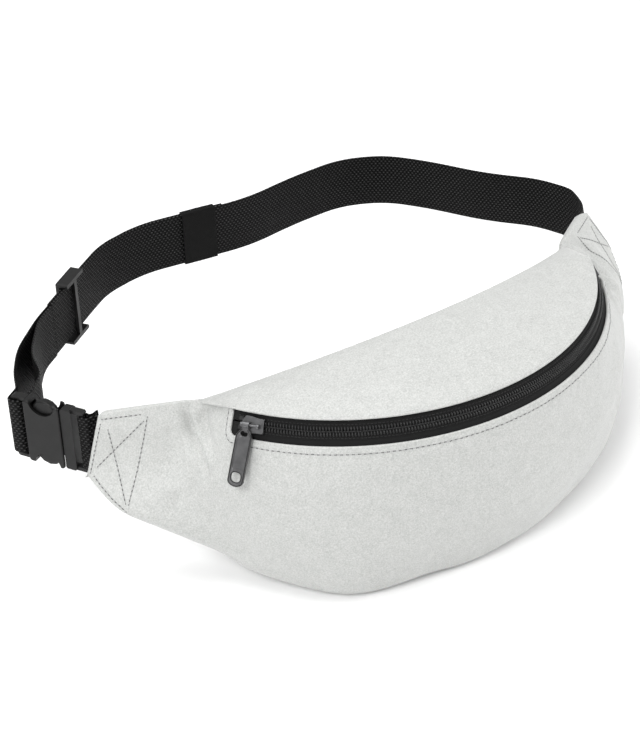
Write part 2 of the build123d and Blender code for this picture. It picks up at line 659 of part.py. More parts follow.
with BuildPart() as lower_release_prong:
    with BuildSketch(B0.offset(-2.5)):
        with BuildLine():
            Polyline(*prong(-1), close=True)
        make_face()
    extrude(amount=5.0)
lower_release_prong.part.label = "lower_release_prong"

with BuildPart() as buckle_female:
    with BuildSketch(B0.offset(-BODY_T / 2)):
        with Locations(((BODY_X0 + BODY_X1) / 2, 0)):
            RectangleRounded(BODY_X1 - BODY_X0, BODY_H, 2.0)
    extrude(amount=BODY_T)
    fillet(buckle_female.edges().filter_by(Axis.Z, reverse=True).filter_by(GeomType.LINE), 0.8)
    # side rails and the webbing bar
    with BuildSketch(B0.offset(-2.2)):
        with Locations((42.0, 0)):
            RectangleRounded(11.6, BODY_H, 2.0)
        with Locations((41.6, 0)):
            Rectangle(5.8, 39.6, mode=Mode.SUBTRACT)
    extrude(amount=4.4)
    # hollow for the tongue and the prongs, open at the mouth
    with BuildSketch(B0.offset(-3.0)):
        with Locations((24.5, 0)):
            Rectangle(23.0, 39.6)
        # the mouth is open at both sides too, so that the buttons can slide out of it
        with Locations((19.25, 0)):
            Rectangle(12.5, BODY_H + 4.0)
    extrude(amount=6.0, mode=Mode.SUBTRACT)
    # round notches where the buttons show, through both faces
    with BuildSketch(B0.offset(-10)):
        with Locations((NOTCH_X, BODY_H / 2 + 1.0), (NOTCH_X, -BODY_H / 2 - 1.0)):
            Circle(NOTCH_R)
    extrude(amount=20, mode=Mode.SUBTRACT)
buckle_female.part.label = "buckle_female"

# webbing tab sewn into the wing at -X and folded round the male half's bar
with BuildPart() as buckle_webbing_tab:
    with BuildSketch(Plane.XY.offset(BUCKLE_M[2] - WEB_W / 2)):
        with BuildLine():
            f1 = Line(b_at(-4.2, 3.2), b_at(0, 3.2))
            f2 = ThreePointArc(b_at(0, 3.2), b_at(3.2, 0), b_at(0, -3.2))
            f3 = Line(b_at(0, -3.2), b_at(-4.2, -3.2))
            f4 = Line(b_at(-4.2, -3.2), b_at(-4.2, -1.8))
            f5 = Line(b_at(-4.2, -1.8), b_at(0, -1.8))
            f6 = ThreePointArc(b_at(0, -1.8), b_at(1.8, 0), b_at(0, 1.8))
            f7 = Line(b_at(0, 1.8), b_at(-4.2, 1.8))
            f8 = Line(b_at(-4.2, 1.8), b_at(-4.2, 3.2))
        make_face()
    extrude(amount=WEB_W)
    # one layer goes into the wing between the panels, the other is sewn on the wearer's side of it
    outer_layer = curve([(-166.1, 84.8), (-178.3, 93.3), (-186.0, 98.8), (-190.1, 101.8), b_at(-4.26, -1.8)], 20)
    inner_layer = curve([(-172.7, 98.1), (-178.4, 102.1), (-183.0, 104.9), b_at(-4.26, 3.2)], 20)
    tab_lean = [-WING_LEAN * min(1.0, (19 - i) / 9) for i in range(20)]
    add(skin(ribbon(outer_layer, tab_lean, 0.0, WEB_W, 0, z=BUCKLE_M[2]), WEB_T, (-1, -1, 0), tol=0.05))
    add(skin(ribbon(inner_layer, [0.85 * v for v in tab_lean], 0.0, WEB_W, 0, z=BUCKLE_M[2]), WEB_T, (-1, -1, 0), tol=0.05))
buckle_webbing_tab.part.label = "buckle_webbing_tab"

# belt loop between the tri-glide and the female half's bar: one layer each way
END = ROUTE[-1]
_ed = unit((ROUTE[-1][0] - ROUTE[-2][0], ROUTE[-1][1] - ROUTE[-2][1]))
_el = (-_ed[1], _ed[0])                                  # the path's left, the wearer's side


def past(d, off):
    return (END[0] + _ed[0] * d + _el[0] * off, END[1] + _ed[1] * d + _el[1] * off)


LOOP = [past(0.3, GAP + WEB_T / 2), past(18.0, GAP + WEB_T / 2), (-186.0, 184.0), (-191.5, 160.0), b_at(41.4, 11.0), b_at(41.4, -3.6),
        b_at(49.6, -3.6), b_at(50.6, 9.0), (-204.0, 171.0), (-190.5, 192.5), past(16.0, -GAP - WEB_T / 2), past(0.3, -GAP - WEB_T / 2)]
LOOP_R = auto_radii(LOOP)
LOOP_R[4] = 3.0
LOOP_R[5] = 3.0
LOOP_R[3] = min(LOOP_R[3], 12.0)
LOOP_R[6] = min(LOOP_R[6], 9.0)
print("loop radii", [round(r, 1) for r in LOOP_R])
loop_a, loop_a_r = offset_path(LOOP, LOOP_R, WEB_T / 2)
loop_b, loop_b_r = offset_path(LOOP, LOOP_R, -WEB_T / 2)
with BuildPart() as strap_loop:
    with BuildSketch(Plane.XY.offset(84.0 - WEB_W / 2)):
        with BuildLine():
            a = FilletPolyline(*loop_a, radius=loop_a_r)
            b = FilletPolyline(*loop_b, radius=loop_b_r)
            Line(a @ 0, b @ 0)
            Line(a @ 1, b @ 1)
        make_face()
    extrude(amount=WEB_W)
strap_loop.part.label = "strap_loop"

# ------------------------------------------------------------------ tri-glide and keeper
G_X = (_ed[0], _ed[1], 0.0)
G_Z = (_ed[1], -_ed[0], 0.0)                             # away from the wearer
G0 = Plane(origin=GLIDE_AT, x_dir=G_X, z_dir=G_Z)
G_SIDE = G0.y_dir
RAIL_IN, RAIL_OUT = WEB_W / 2 + 1.0, WEB_W / 2 + 3.8
with BuildPart() as tri_glide:
    # side rails above and below the webbing
    with BuildSketch(G0.offset(-4.2)):
        with Locations((0, (RAIL_IN + RAIL_OUT) / 2), (0, -(RAIL_IN + RAIL_OUT) / 2)):
            RectangleRounded(23.0, RAIL_OUT - RAIL_IN, 1.2)
    extrude(amount=8.4)
    # two outer bars outside the webbing
    with BuildSketch(G0.offset(1.95)):
        with Locations((10.0, 0), (-10.0, 0)):
            Rectangle(3.0, 2 * RAIL_OUT - 1.0)
    extrude(amount=2.25)
    # centre bar on the wearer's side
    with BuildSketch(G0.offset(-4.2)):
        Rectangle(3.4, 2 * RAIL_OUT - 1.0)
    extrude(amount=2.25)
tri_glide.part.label = "tri_glide"

_k = unit((ROUTE[9][0] - ROUTE[8][0], ROUTE[9][1] - ROUTE[8][1]))
K0 = Plane(origin=KEEPER_AT, x_dir=(0, 0, 1), z_dir=(_k[0], _k[1], 0.0))
with BuildPart() as keeper_loop:
    with BuildSketch(K0.offset(-12.0)):
        RectangleRounded(WEB_W + 3.4, 6.2, 1.4)
        RectangleRounded(WEB_W + 1.2, 3.9, 0.5, mode=Mode.SUBTRACT)
    extrude(amount=24.0)
keeper_loop.part.label = "keeper_loop"

# ------------------------------------------------------------------ write the parts
pieces = [front_panel, top_panel, back_panel, top_seam_binding, bottom_seam_binding, zip_tape_upper, zip_tape_lower, zip_coil_upper,
          zip_coil_lower, zip_top_stops, zip_bottom_stop, zip_slider_body, zip_slider_bail, zip_puller, waist_strap, strap_tail,
          strap_loop, keeper_loop, tri_glide, buckle_female, buckle_male_frame, upper_release_prong, lower_release_prong,
          buckle_webbing_tab]
for piece in pieces:
    export_step(piece.part, f"parts/{piece.part.label}.step")

# joint axes and reference points, in metres
m = lambda v: [round(float(a) / 1000, 6) for a in v]
u6 = lambda v: [round(float(a), 6) for a in v]
print("zip axis pos", m(ZIP_C), "axis", u6(ZIP_N))
print("puller pivot", m(tuple(PIVOT)), "axis", u6(tuple(S0.x_dir)))
print("buckle axis", u6(B_X), "glide axis", u6(G_X), "keeper axis", u6((_k[0], _k[1], 0)))
for sgn in (1, -1):
    print("prong pivot", sgn, m(tuple(B0.from_local_coords((14.5, sgn * 9.0, 0)))), "axis", u6(tuple(B0.z_dir)))
print("puller window", m(tuple(P0.from_local_coords((0, -31.4, 0)))), "normal", u6(tuple(P0.z_dir)), "y", u6(tuple(P0.y_dir)))
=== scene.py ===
import bpy
import bmesh
import math
import random
import numpy as np
from mathutils import Matrix, Vector


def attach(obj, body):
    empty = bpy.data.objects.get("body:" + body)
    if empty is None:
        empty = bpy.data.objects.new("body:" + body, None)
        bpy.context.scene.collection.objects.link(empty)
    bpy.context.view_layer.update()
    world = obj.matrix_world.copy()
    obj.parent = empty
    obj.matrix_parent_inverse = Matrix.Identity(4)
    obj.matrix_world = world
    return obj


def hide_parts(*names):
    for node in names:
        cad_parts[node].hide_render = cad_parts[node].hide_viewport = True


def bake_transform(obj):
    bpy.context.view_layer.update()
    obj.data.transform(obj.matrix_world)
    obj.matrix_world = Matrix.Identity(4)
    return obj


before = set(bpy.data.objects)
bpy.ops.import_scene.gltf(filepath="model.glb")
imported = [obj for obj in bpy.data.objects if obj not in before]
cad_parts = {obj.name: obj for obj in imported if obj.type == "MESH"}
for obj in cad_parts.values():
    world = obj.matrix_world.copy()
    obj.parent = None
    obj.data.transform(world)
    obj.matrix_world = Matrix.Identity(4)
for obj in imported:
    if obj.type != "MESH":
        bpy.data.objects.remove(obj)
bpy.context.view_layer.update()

random.seed(7)
rng = np.random.RandomState(7)

# ---------------------------------------------------------------- the part's own dimensions, in mm
# zip line: a circular arc in a plane tilted a little about X
ZIP_CY = 100.6          # arc centre, Y
ZIP_CZ = 111.6          # arc centre, Z
ZIP_R = 149.6           # arc radius, on the tape's outer face
ZIP_TILT = 3.1          # degrees, the arc's plane against the floor
TAPE_SLOPE = 63.4       # degrees, the tape's slope across the arc's plane
TAPE_HALF = 9.1         # visible half width of the zip
TAPE_HIDDEN = 0.8       # tape under each panel's edge
TAPE_T = 0.7
TAPE_UP = 5.9           # the upper tape, up to the top panel's turned edge
TAPE_END = 63.6         # degrees each side
COIL_W = 2.75
COIL_H = 1.9
COIL_START = -59.2      # degrees
COIL_STOP = 60.4

PANEL_T = 1.8           # outer fabric, foam and lining together
PANEL_LIFT = 2.1        # outer face of a panel above the tape's outer face

SLIDER_AT = -58.1       # degrees along the arc, zip closed
PULL_ANGLE = 0.0        # degrees, the puller leans from the tape's plane towards the belly
PULL_LEN = 36.0
PULL_TURN = 4.5          # degrees, the blade hangs a little askew, towards the buckle's side
PULL_W = 9.8
PULL_T = 1.7

WEB_W = 38.0            # belt webbing
WEB_T = 1.4
BELT_Z = 85.0           # height of the belt's middle
BUCKLE_M = (-192.5, 107.7, 83.5)     # middle of the male half's webbing bar
BUCKLE_DIR = 120.0      # degrees, direction that the female half leaves in
GLIDE_AT = (-127.0, 241.0, 84.5)
KEEPER_AT = (-14.0, 267.14, BELT_Z)



def table(xs, ys, x):
    """Smooth curve through a table, flat outside it (Catmull-Rom)."""
    if x <= xs[0]:
        return ys[0]
    if x >= xs[-1]:
        return ys[-1]
    i = max(k for k in range(len(xs) - 1) if xs[k] <= x)
    h = xs[i + 1] - xs[i]

    def slope(k):
        if k <= 0 or k >= len(xs) - 1:
            a, b = (0, 1) if k <= 0 else (len(xs) - 2, len(xs) - 1)
            return (ys[b] - ys[a]) / (xs[b] - xs[a])
        return (ys[k + 1] - ys[k - 1]) / (xs[k + 1] - xs[k - 1])

    t = (x - xs[i]) / h
    a, b, c, d = 2 * t**3 - 3 * t**2 + 1, t**3 - 2 * t**2 + t, -2 * t**3 + 3 * t**2, t**3 - t**2
    return a * ys[i] + b * h * slope(i) + c * ys[i + 1] + d * h * slope(i + 1)


def polar(phi, rho, z):
    """Point at angle phi from straight ahead, about the zip arc's centre."""
    p = math.radians(phi)
    return (rho * math.sin(p), ZIP_CY - rho * math.cos(p), z)


def plus(p, q, k=1.0):
    return tuple(a + k * b for a, b in zip(p, q))


def unit(v):
    n = math.sqrt(sum(a * a for a in v))
    return tuple(a / n for a in v)




TILT = math.radians(ZIP_TILT)
SLOPE = math.radians(TAPE_SLOPE)
ZIP_C = (0.0, ZIP_CY, ZIP_CZ)
ZIP_N = (0.0, math.sin(TILT), math.cos(TILT))       # the arc's axis


def zip_dirs(phi):
    """Radial, tangent, across (towards the top panel) and outward directions of the zip."""
    p = math.radians(phi)
    rad = (math.sin(p), -math.cos(p) * math.cos(TILT), math.cos(p) * math.sin(TILT))
    tan = (math.cos(p), math.sin(p) * math.cos(TILT), -math.sin(p) * math.sin(TILT))
    across = plus(tuple(-math.cos(SLOPE) * a for a in rad), ZIP_N, math.sin(SLOPE))
    out = plus(tuple(math.sin(SLOPE) * a for a in rad), ZIP_N, math.cos(SLOPE))
    return rad, tan, across, out


def zip_point(phi, across=0.0, out=0.0):
    rad, tan, ac, ou = zip_dirs(phi)
    return plus(plus(plus(ZIP_C, rad, ZIP_R), ac, across), ou, out)



# back top edge: a shallow curve from corner to corner
def back_edge(t):
    return (138.9 * t, 26.5 + 40.1 * t * t, 136.3 - 24.4 * t * t)


CORNER = 76.2           # degrees, where the back top edge meets the wing


def back_edge_at(phi):
    """The back top edge's point at angle phi."""
    lo, hi = 0.0, 1.0
    for _ in range(40):
        mid = (lo + hi) / 2
        x, y, z = back_edge(mid)
        if math.degrees(math.atan2(x, ZIP_CY - y)) < abs(phi):
            lo = mid
        else:
            hi = mid
    return back_edge(math.copysign(lo, phi))


PHI = [0, 20, 38, 52, 63]
BASE = [-0.6, -0.6, -0.6, 1.2, 6]             # height of the underside
LOW_Z = [7, 7, 7, 9, 16]                      # height of the low front
# radius of the belly and of the low front, at -X and at +X: the filled pouch isn't quite symmetric
BELLY = {-1: [160, 160, 164, 166, 164], 1: [160, 161, 165, 167, 171]}
LOW = {-1: [143, 147.5, 157, 155.5, 158], 1: [143, 145, 150.5, 159, 166]}
SEAM_X = [0, 17.6, 37.3, 58.9, 84, 105.6, 130, 162.5, 196]   # underside's back seam
SEAM_Z = [-0.6, -0.6, -0.6, 1.2, 6, 18, 31.5, 49.5, 68.5]
WING_N = (0.57, -0.82)                        # outward from a wing's front face, at +X
WING_THICK = 6.9                              # front face to back face of a wing


def seam_line(x):
    """Back seam of the underside, at +X."""
    return (x, 52.0 + 46.0 * (x / 196.0) ** 2.4, table(SEAM_X, SEAM_Z, x))


def body_column(phi, side):
    """Control points down the front of the pouch: zip edge, belly, underside, back seam."""
    base, belly = table(PHI, BASE, phi), table(PHI, BELLY[side], phi)
    low, low_z = table(PHI, LOW[side], phi), table(PHI, LOW_Z, phi)
    upper = zip_point(phi, 5.5, PANEL_LIFT)
    edge = zip_point(phi, -TAPE_HALF, PANEL_LIFT)
    r1 = math.hypot(edge[0], ZIP_CY - edge[1])
    h = edge[2] - base
    seam = seam_line(table(PHI, SEAM_X[:5], phi))
    front = [polar(phi, r1 + 0.66 * (belly - r1), edge[2] - 0.19 * h), polar(phi, belly, base + 0.58 * h),
             polar(phi, 0.25 * low + 0.75 * belly + 1.0, base + 0.34 * h), polar(phi, low, low_z), polar(phi, low - 17, base + 0.3)]
    mid = tuple((u + v) / 2 for u, v in zip(front[-1], seam))
    return [upper, edge] + front + [(mid[0], mid[1], base), seam]


def wing_column(top, bottom):
    """Control points down a wing: flat from its top edge to its bottom edge, and a short turn under."""
    pts = [tuple(u + (v - u) * t for u, v in zip(top, bottom)) for t in (0, 0.2, 0.4, 0.6, 0.8, 0.93, 1.0)]
    back = plus(bottom, (-WING_N[0], -WING_N[1], 0.0), 3.2)
    return pts + [tuple((u + v) / 2 for u, v in zip(pts[-1], back)), back]


def ray_column(phi, top, rows, mid, seam_x):
    return [top] + [polar(phi, r, z) for r, z in rows] + [mid, seam_line(seam_x)]


STATIONS = [0, 10, 20, 30, 38, 45, 52, 58, 62.5, 69.5, 76.2, 83, 90]
COLUMNS = {
    -1: [body_column(a, -1) for a in STATIONS[:9]] + [
        ray_column(69.5, (134.2, 50.8, 115.2), [(149.5, 99.5), (156.5, 88), (162, 70), (165.5, 50), (168, 34), (158, 20.5)], (130, 55.5, 20.5), 112),
        ray_column(76.2, (138.9, 66.4, 110.8), [(146.5, 99), (151.5, 88), (160, 74), (170, 60), (181, 46.5), (174, 36)], (155, 66, 36), 140),
        ray_column(83, (163, 83.5, 107.2), [(165.5, 98), (168.5, 90), (174, 80), (183, 69), (193.5, 57.5), (192.5, 52)], (183.5, 82, 54), 176),
        wing_column((187.2, 98.7, 103.4), (199.9, 96.0, 68.5))],
    1: [body_column(a, 1) for a in STATIONS[:9]] + [
        ray_column(69.5, (134.2, 50.8, 115.2), [(150.5, 99.5), (161, 88), (173, 72), (175, 52), (171, 34), (159, 20.5)], (130, 55.5, 20.5), 112),
        ray_column(76.2, (138.9, 66.4, 110.8), [(147.5, 99), (156, 88), (172, 74), (182, 60), (185, 46.5), (175, 36)], (155, 66, 36), 140),
        ray_column(83, (163, 83.5, 107.2), [(166.5, 98), (172, 90), (181, 79), (190, 68), (196.5, 57.5), (193.5, 52)], (183.5, 82, 54), 176),
        wing_column((188.0, 99.8, 103.6), (204.5, 96.8, 67.0))],
}
KNOTS = [0, 18, 36, 58, 82, 104, 124, 150, 176]


def front_column(a, n=19):
    """Points down the outer face of the front panel at station a (negative towards -X)."""
    s, a = (-1 if a < 0 else 1), abs(a)
    net = body_column(a, s) if a <= 58 else [tuple(table(STATIONS, [c[k][m] for c in COLUMNS[s]], a) for m in range(3)) for k in range(9)]
    out = []
    for i in range(n):
        t = KNOTS[-1] * i / (n - 1)
        q = tuple(table(KNOTS, [c[m] for c in net], t) for m in range(3))
        out.append((s * q[0], q[1], q[2]))
    return out


def back_top(t):
    """Top edge of the back panel's outer face, by a parameter from -1.36 to 1.36 (corners at +-1)."""
    s = math.copysign(1.0, t)
    if abs(t) <= 0.93:
        return back_edge(t)
    xs = [0.8, 0.93, 1.1, 1.36]
    pts = [back_edge(0.8), back_edge(0.93), (146.1, 77.9, 110.0), (182.5, 105.4, 103.4)]
    return tuple((s if m == 0 else 1.0) * table(xs, [q[m] for q in pts], abs(t)) for m in range(3))


def back_low(t):
    """Bottom edge of the back panel's outer face: on the underside's seam, and behind the wings."""
    s, a = math.copysign(1.0, t), abs(t)
    x = table([0, 0.5, 1.0, 1.36], [0, 72, 137, 190.5], a)
    q = seam_line(x)
    k = min(1.0, max(0.0, (a - 0.85) / 0.4))
    k = k * k * (3 - 2 * k)
    return (s * x, q[1] - 0.3 + (WING_THICK - 2.2) * k, q[2] + 3.6 - 2.3 * k)



def curve(pts, n):
    """n points along a smooth plan curve through pts."""
    d = [0.0]
    for p, q in zip(pts, pts[1:]):
        d.append(d[-1] + math.dist(p, q))
    return [tuple(table(d, [q[m] for q in pts], d[-1] * i / (n - 1)) for m in range(2)) for i in range(n)]


WING_LEAN = 13.5


def offset_path(pts, radii, off):
    """The same path moved sideways: to its left where off is positive. Returns points and radii."""
    n = len(pts)
    dirs = [unit((pts[i + 1][0] - pts[i][0], pts[i + 1][1] - pts[i][1])) for i in range(n - 1)]
    out, rr = [], []
    for i in range(n):
        if i == 0 or i == n - 1:
            d = dirs[0] if i == 0 else dirs[-1]
            out.append((pts[i][0] - d[1] * off, pts[i][1] + d[0] * off))
            continue
        a, b = dirs[i - 1], dirs[i]
        turn = a[0] * b[1] - a[1] * b[0]
        m = (-(a[1] + b[1]), a[0] + b[0])
        k = off / (m[0] * -a[1] + m[1] * a[0])
        out.append((pts[i][0] + m[0] * k, pts[i][1] + m[1] * k))
        rr.append(radii[i - 1] - off if turn > 0 else radii[i - 1] + off)
    return out, rr


def auto_radii(pts, cap=1e9):
    """0.45 of the shorter run over the tangent of half the turn, at each corner."""
    out = []
    for i in range(1, len(pts) - 1):
        a = math.dist(pts[i - 1], pts[i])
        b = math.dist(pts[i], pts[i + 1])
        u, v = unit((pts[i][0] - pts[i - 1][0], pts[i][1] - pts[i - 1][1])), unit((pts[i + 1][0] - pts[i][0], pts[i + 1][1] - pts[i][1]))
        ang = math.acos(max(-1, min(1, u[0] * v[0] + u[1] * v[1])))
        out.append(min(cap, 0.45 * min(a, b) / math.tan(ang / 2)))
    return out



ROUTE = [(201.5, 120.0), (204.0, 134.0), (195.5, 158.0), (172.0, 187.0), (151.5, 225.0), (132.0, 252.0),
         (103.0, 266.5), (62.0, 266.0), (22.0, 261.0), (-56.0, 274.3), (-89.0, 267.2), (-110.0, 252.95), (-150.9, 224.2)]
ROUTE_R = auto_radii(ROUTE)
GAP = 0.15
_bd = math.radians(BUCKLE_DIR)
B_X = (math.cos(_bd), math.sin(_bd), 0.0)                # along the buckle, towards the female half
B_Z = (math.sin(_bd), -math.cos(_bd), 0.0)               # towards the wearer
def b_at(x, z):
    """Plan position of a point in the buckle's frame."""
    return (BUCKLE_M[0] + B_X[0] * x + B_Z[0] * z, BUCKLE_M[1] + B_X[1] * x + B_Z[1] * z)


END = ROUTE[-1]
_ed = unit((ROUTE[-1][0] - ROUTE[-2][0], ROUTE[-1][1] - ROUTE[-2][1]))
_el = (-_ed[1], _ed[0])                                  # the path's left, the wearer's side


def past(d, off):
    return (END[0] + _ed[0] * d + _el[0] * off, END[1] + _ed[1] * d + _el[1] * off)


LOOP = [past(0.3, GAP + WEB_T / 2), past(18.0, GAP + WEB_T / 2), (-186.0, 184.0), (-191.5, 160.0), b_at(41.4, 11.0), b_at(41.4, -3.6),
        b_at(49.6, -3.6), b_at(50.6, 9.0), (-204.0, 171.0), (-190.5, 192.5), past(16.0, -GAP - WEB_T / 2), past(0.3, -GAP - WEB_T / 2)]
LOOP_R = auto_radii(LOOP)
LOOP_R[4] = 3.0
LOOP_R[5] = 3.0
LOOP_R[3] = min(LOOP_R[3], 12.0)
LOOP_R[6] = min(LOOP_R[6], 9.0)

# ---------------------------------------------------------------- camera at the photograph's angle
CAM = np.array([-606.1, -767.66, 784.42])
CR = np.array([0.81713, -0.57559, -0.03159])
CU = np.array([0.33846, 0.43470, 0.83455])
CB = np.array([-0.46663, -0.69263, 0.55002])
FOCAL = 2014.7


def project(P):
    d = np.asarray(P, float) - CAM
    dep = -(d @ CB)
    return np.stack([329.9 + FOCAL * (d @ CR) / dep, 331.5 - FOCAL * (d @ CU) / dep], -1)


cam_data = bpy.data.cameras.new("camera")
cam = bpy.data.objects.new("camera", cam_data)
bpy.context.scene.collection.objects.link(cam)
m4 = Matrix(((CR[0], CU[0], CB[0], CAM[0] / 1000), (CR[1], CU[1], CB[1], CAM[1] / 1000), (CR[2], CU[2], CB[2], CAM[2] / 1000), (0, 0, 0, 1)))
q = m4.to_3x3().to_quaternion().normalized()
cam.matrix_world = Matrix.Translation(m4.to_translation()) @ q.to_matrix().to_4x4()
cam_data.sensor_fit = "AUTO"
cam_data.sensor_width = 36.0
cam_data.lens = FOCAL * 36.0 / 750.0
cam_data.shift_x = (320 - 329.9) / 750.0
cam_data.shift_y = (331.5 - 375) / 750.0
cam_data.clip_start = 0.05
cam_data.clip_end = 30
bpy.context.scene.camera = cam

# ---------------------------------------------------------------- materials


class Mat:
    """A material with its node tree and a few short calls for building it."""

    def __init__(self, name):
        self.m = bpy.data.materials.new(name)
        self.m.use_nodes = True
        self.t = self.m.node_tree
        self.bsdf = next(n for n in self.t.nodes if n.type == "BSDF_PRINCIPLED")

    def node(self, kind, **kw):
        n = self.t.nodes.new(kind)
        for k, v in kw.items():
            setattr(n, k, v)
        return n

    def link(self, a, b):
        self.t.links.new(a, b)

    def math(self, op, a, b=None, clamp=False):
        n = self.node("ShaderNodeMath", operation=op, use_clamp=clamp)
        for i, v in enumerate((a, b)):
            if v is None:
                continue
            if isinstance(v, (int, float)):
                n.inputs[i].default_value = v
            else:
                self.link(v, n.inputs[i])
        return n.outputs[0]

    def coords(self):
        return self.node("ShaderNodeTexCoord").outputs["Object"]

    def uv(self):
        sep = self.node("ShaderNodeSeparateXYZ")
        self.link(self.node("ShaderNodeTexCoord").outputs["UV"], sep.inputs[0])
        return sep.outputs[0], sep.outputs[1]

    def noise(self, scale, detail=2.0, rough=0.5, vec=None):
        n = self.node("ShaderNodeTexNoise")
        n.inputs["Scale"].default_value = scale
        n.inputs["Detail"].default_value = detail
        n.inputs["Roughness"].default_value = rough
        self.link(vec if vec is not None else self.coords(), n.inputs["Vector"])
        return n.outputs["Fac"]

    def ramp(self, fac, stops):
        n = self.node("ShaderNodeValToRGB")
        while len(n.color_ramp.elements) < len(stops):
            n.color_ramp.elements.new(0.5)
        for e, (p, c) in zip(n.color_ramp.elements, stops):
            e.position = p
            e.color = (c[0], c[1], c[2], 1) if isinstance(c, tuple) else (c, c, c, 1)
        self.link(fac, n.inputs[0])
        return n.outputs[0]

    def bump(self, height, strength, distance, normal=None):
        n = self.node("ShaderNodeBump")
        n.inputs["Strength"].default_value = strength
        n.inputs["Distance"].default_value = distance
        self.link(height, n.inputs["Height"])
        if normal is not None:
            self.link(normal, n.inputs["Normal"])
        return n.outputs[0]

    def set(self, **kw):
        for k, v in kw.items():
            sock = self.bsdf.inputs[k.replace("_", " ")]
            if isinstance(v, (int, float, tuple)):
                sock.default_value = v
            else:
                self.link(v, sock)
        return self.m


def fabric_grey():
    k = Mat("pouch_fabric_grey")
    big = k.noise(9.0, 3.0, 0.5)
    fine = k.noise(1100.0, 3.0, 0.7)
    mid = k.noise(160.0, 2.0, 0.6)
    u, v = k.uv()
    # plain weave, one thread about 0.45 mm
    a = k.math("SINE", k.math("MULTIPLY", u, 6.2832 / 0.62))
    b = k.math("SINE", k.math("MULTIPLY", v, 6.2832 / 0.62))
    weave = k.math("MULTIPLY", a, b)
    mix = k.math("ADD", k.math("MULTIPLY", fine, 0.78), k.math("ADD", k.math("MULTIPLY", big, 0.07), k.math("MULTIPLY", mid, 0.13)))
    mix = k.math("ADD", mix, k.math("MULTIPLY", weave, 0.035))
    col = k.ramp(mix, [(0.30, (0.325, 0.331, 0.320)), (0.5, (0.455, 0.461, 0.448)), (0.70, (0.575, 0.581, 0.567))])
    nrm = k.bump(weave, 0.10, 0.00012, k.bump(fine, 0.18, 0.00025, k.bump(mid, 0.12, 0.0006)))
    rough = k.ramp(fine, [(0.3, 0.50), (0.7, 0.62)])
    return k.set(Base_Color=col, Roughness=rough, Normal=nrm, Specular_IOR_Level=0.35, Sheen_Weight=0.25, Sheen_Roughness=0.45)


def webbing_black(name, pu, pv, lo, hi, strength=0.8, dist=0.0005):
    k = Mat(name)
    u, v = k.uv()
    row = k.math("FLOOR", k.math("DIVIDE", v, pv))
    f = k.math("FRACT", k.math("ADD", k.math("DIVIDE", u, pu), k.math("MULTIPLY", row, 0.5)))
    g = k.math("FRACT", k.math("DIVIDE", v, pv))
    a = k.math("SINE", k.math("MULTIPLY", f, 3.14159))
    b = k.math("SINE", k.math("MULTIPLY", g, 3.14159))
    h = k.math("POWER", k.math("MULTIPLY", a, b), 0.7)
    fine = k.noise(2500.0, 2.0, 0.6)
    wear = k.noise(22.0, 3.0, 0.6)
    tot = k.math("ADD", k.math("MULTIPLY", h, 0.80), k.math("ADD", k.math("MULTIPLY", fine, 0.14), k.math("MULTIPLY", wear, 0.12)))
    # the weave's crowns are coloured lighter, up to hi: painted highlight on the black yarn, over the relief that the
    # bump gives
    col = k.ramp(tot, [(0.30, lo), (0.68, lo * 4.0), (0.80, lo + 0.28 * (hi - lo)), (0.95, hi)])
    nrm = k.bump(h, strength, dist, k.bump(fine, 0.3, 0.0002))
    return k.set(Base_Color=col, Roughness=0.55, Normal=nrm, Specular_IOR_Level=0.10)


def zip_tape_black():
    k = Mat("zip_tape_black")
    u, v = k.uv()
    w = k.math("ABSOLUTE", k.math("SUBTRACT", k.math("FRACT", k.math("DIVIDE", v, 3.2)), 0.5))
    her = k.math("SINE", k.math("MULTIPLY", k.math("ADD", u, k.math("MULTIPLY", w, 3.2)), 6.2832 / 0.8))
    fine = k.noise(2300.0, 2.0, 0.6)
    tot = k.math("ADD", k.math("MULTIPLY", k.math("ADD", k.math("MULTIPLY", her, 0.5), 0.5), 0.5), k.math("MULTIPLY", fine, 0.5))
    col = k.ramp(tot, [(0.15, 0.002), (0.6, 0.006), (1.0, 0.015)])
    return k.set(Base_Color=col, Roughness=0.75, Normal=k.bump(her, 0.35, 0.0002, k.bump(fine, 0.35, 0.0002)), Specular_IOR_Level=0.25)


def plastic_black(name="buckle_plastic_black"):
    k = Mat(name)
    fine = k.noise(1800.0, 2.0, 0.5)
    big = k.noise(35.0, 3.0, 0.6)
    col = k.ramp(big, [(0.3, 0.004), (0.7, 0.007)])
    rough = k.ramp(k.noise(60.0, 4.0, 0.6), [(0.3, 0.36), (0.7, 0.50)])
    return k.set(Base_Color=col, Roughness=rough, Normal=k.bump(fine, 0.10, 0.00012), Specular_IOR_Level=0.28)


def metal_gun():
    k = Mat("zip_metal_gunmetal")
    fine = k.noise(900.0, 3.0, 0.6)
    big = k.noise(90.0, 3.0, 0.6)
    col = k.ramp(big, [(0.3, (0.105, 0.105, 0.107)), (0.7, (0.17, 0.17, 0.173))])
    rough = k.ramp(fine, [(0.3, 0.30), (0.7, 0.44)])
    return k.set(Base_Color=col, Roughness=rough, Metallic=0.9, Normal=k.bump(fine, 0.08, 0.0001))


def plain(name, lo, hi, rough, scale=900.0, spec=0.3):
    k = Mat(name)
    n = k.noise(scale, 2.0, 0.6)
    return k.set(Base_Color=k.ramp(n, [(0.3, lo), (0.7, hi)]), Roughness=rough, Normal=k.bump(n, 0.25, 0.0002), Specular_IOR_Level=spec)


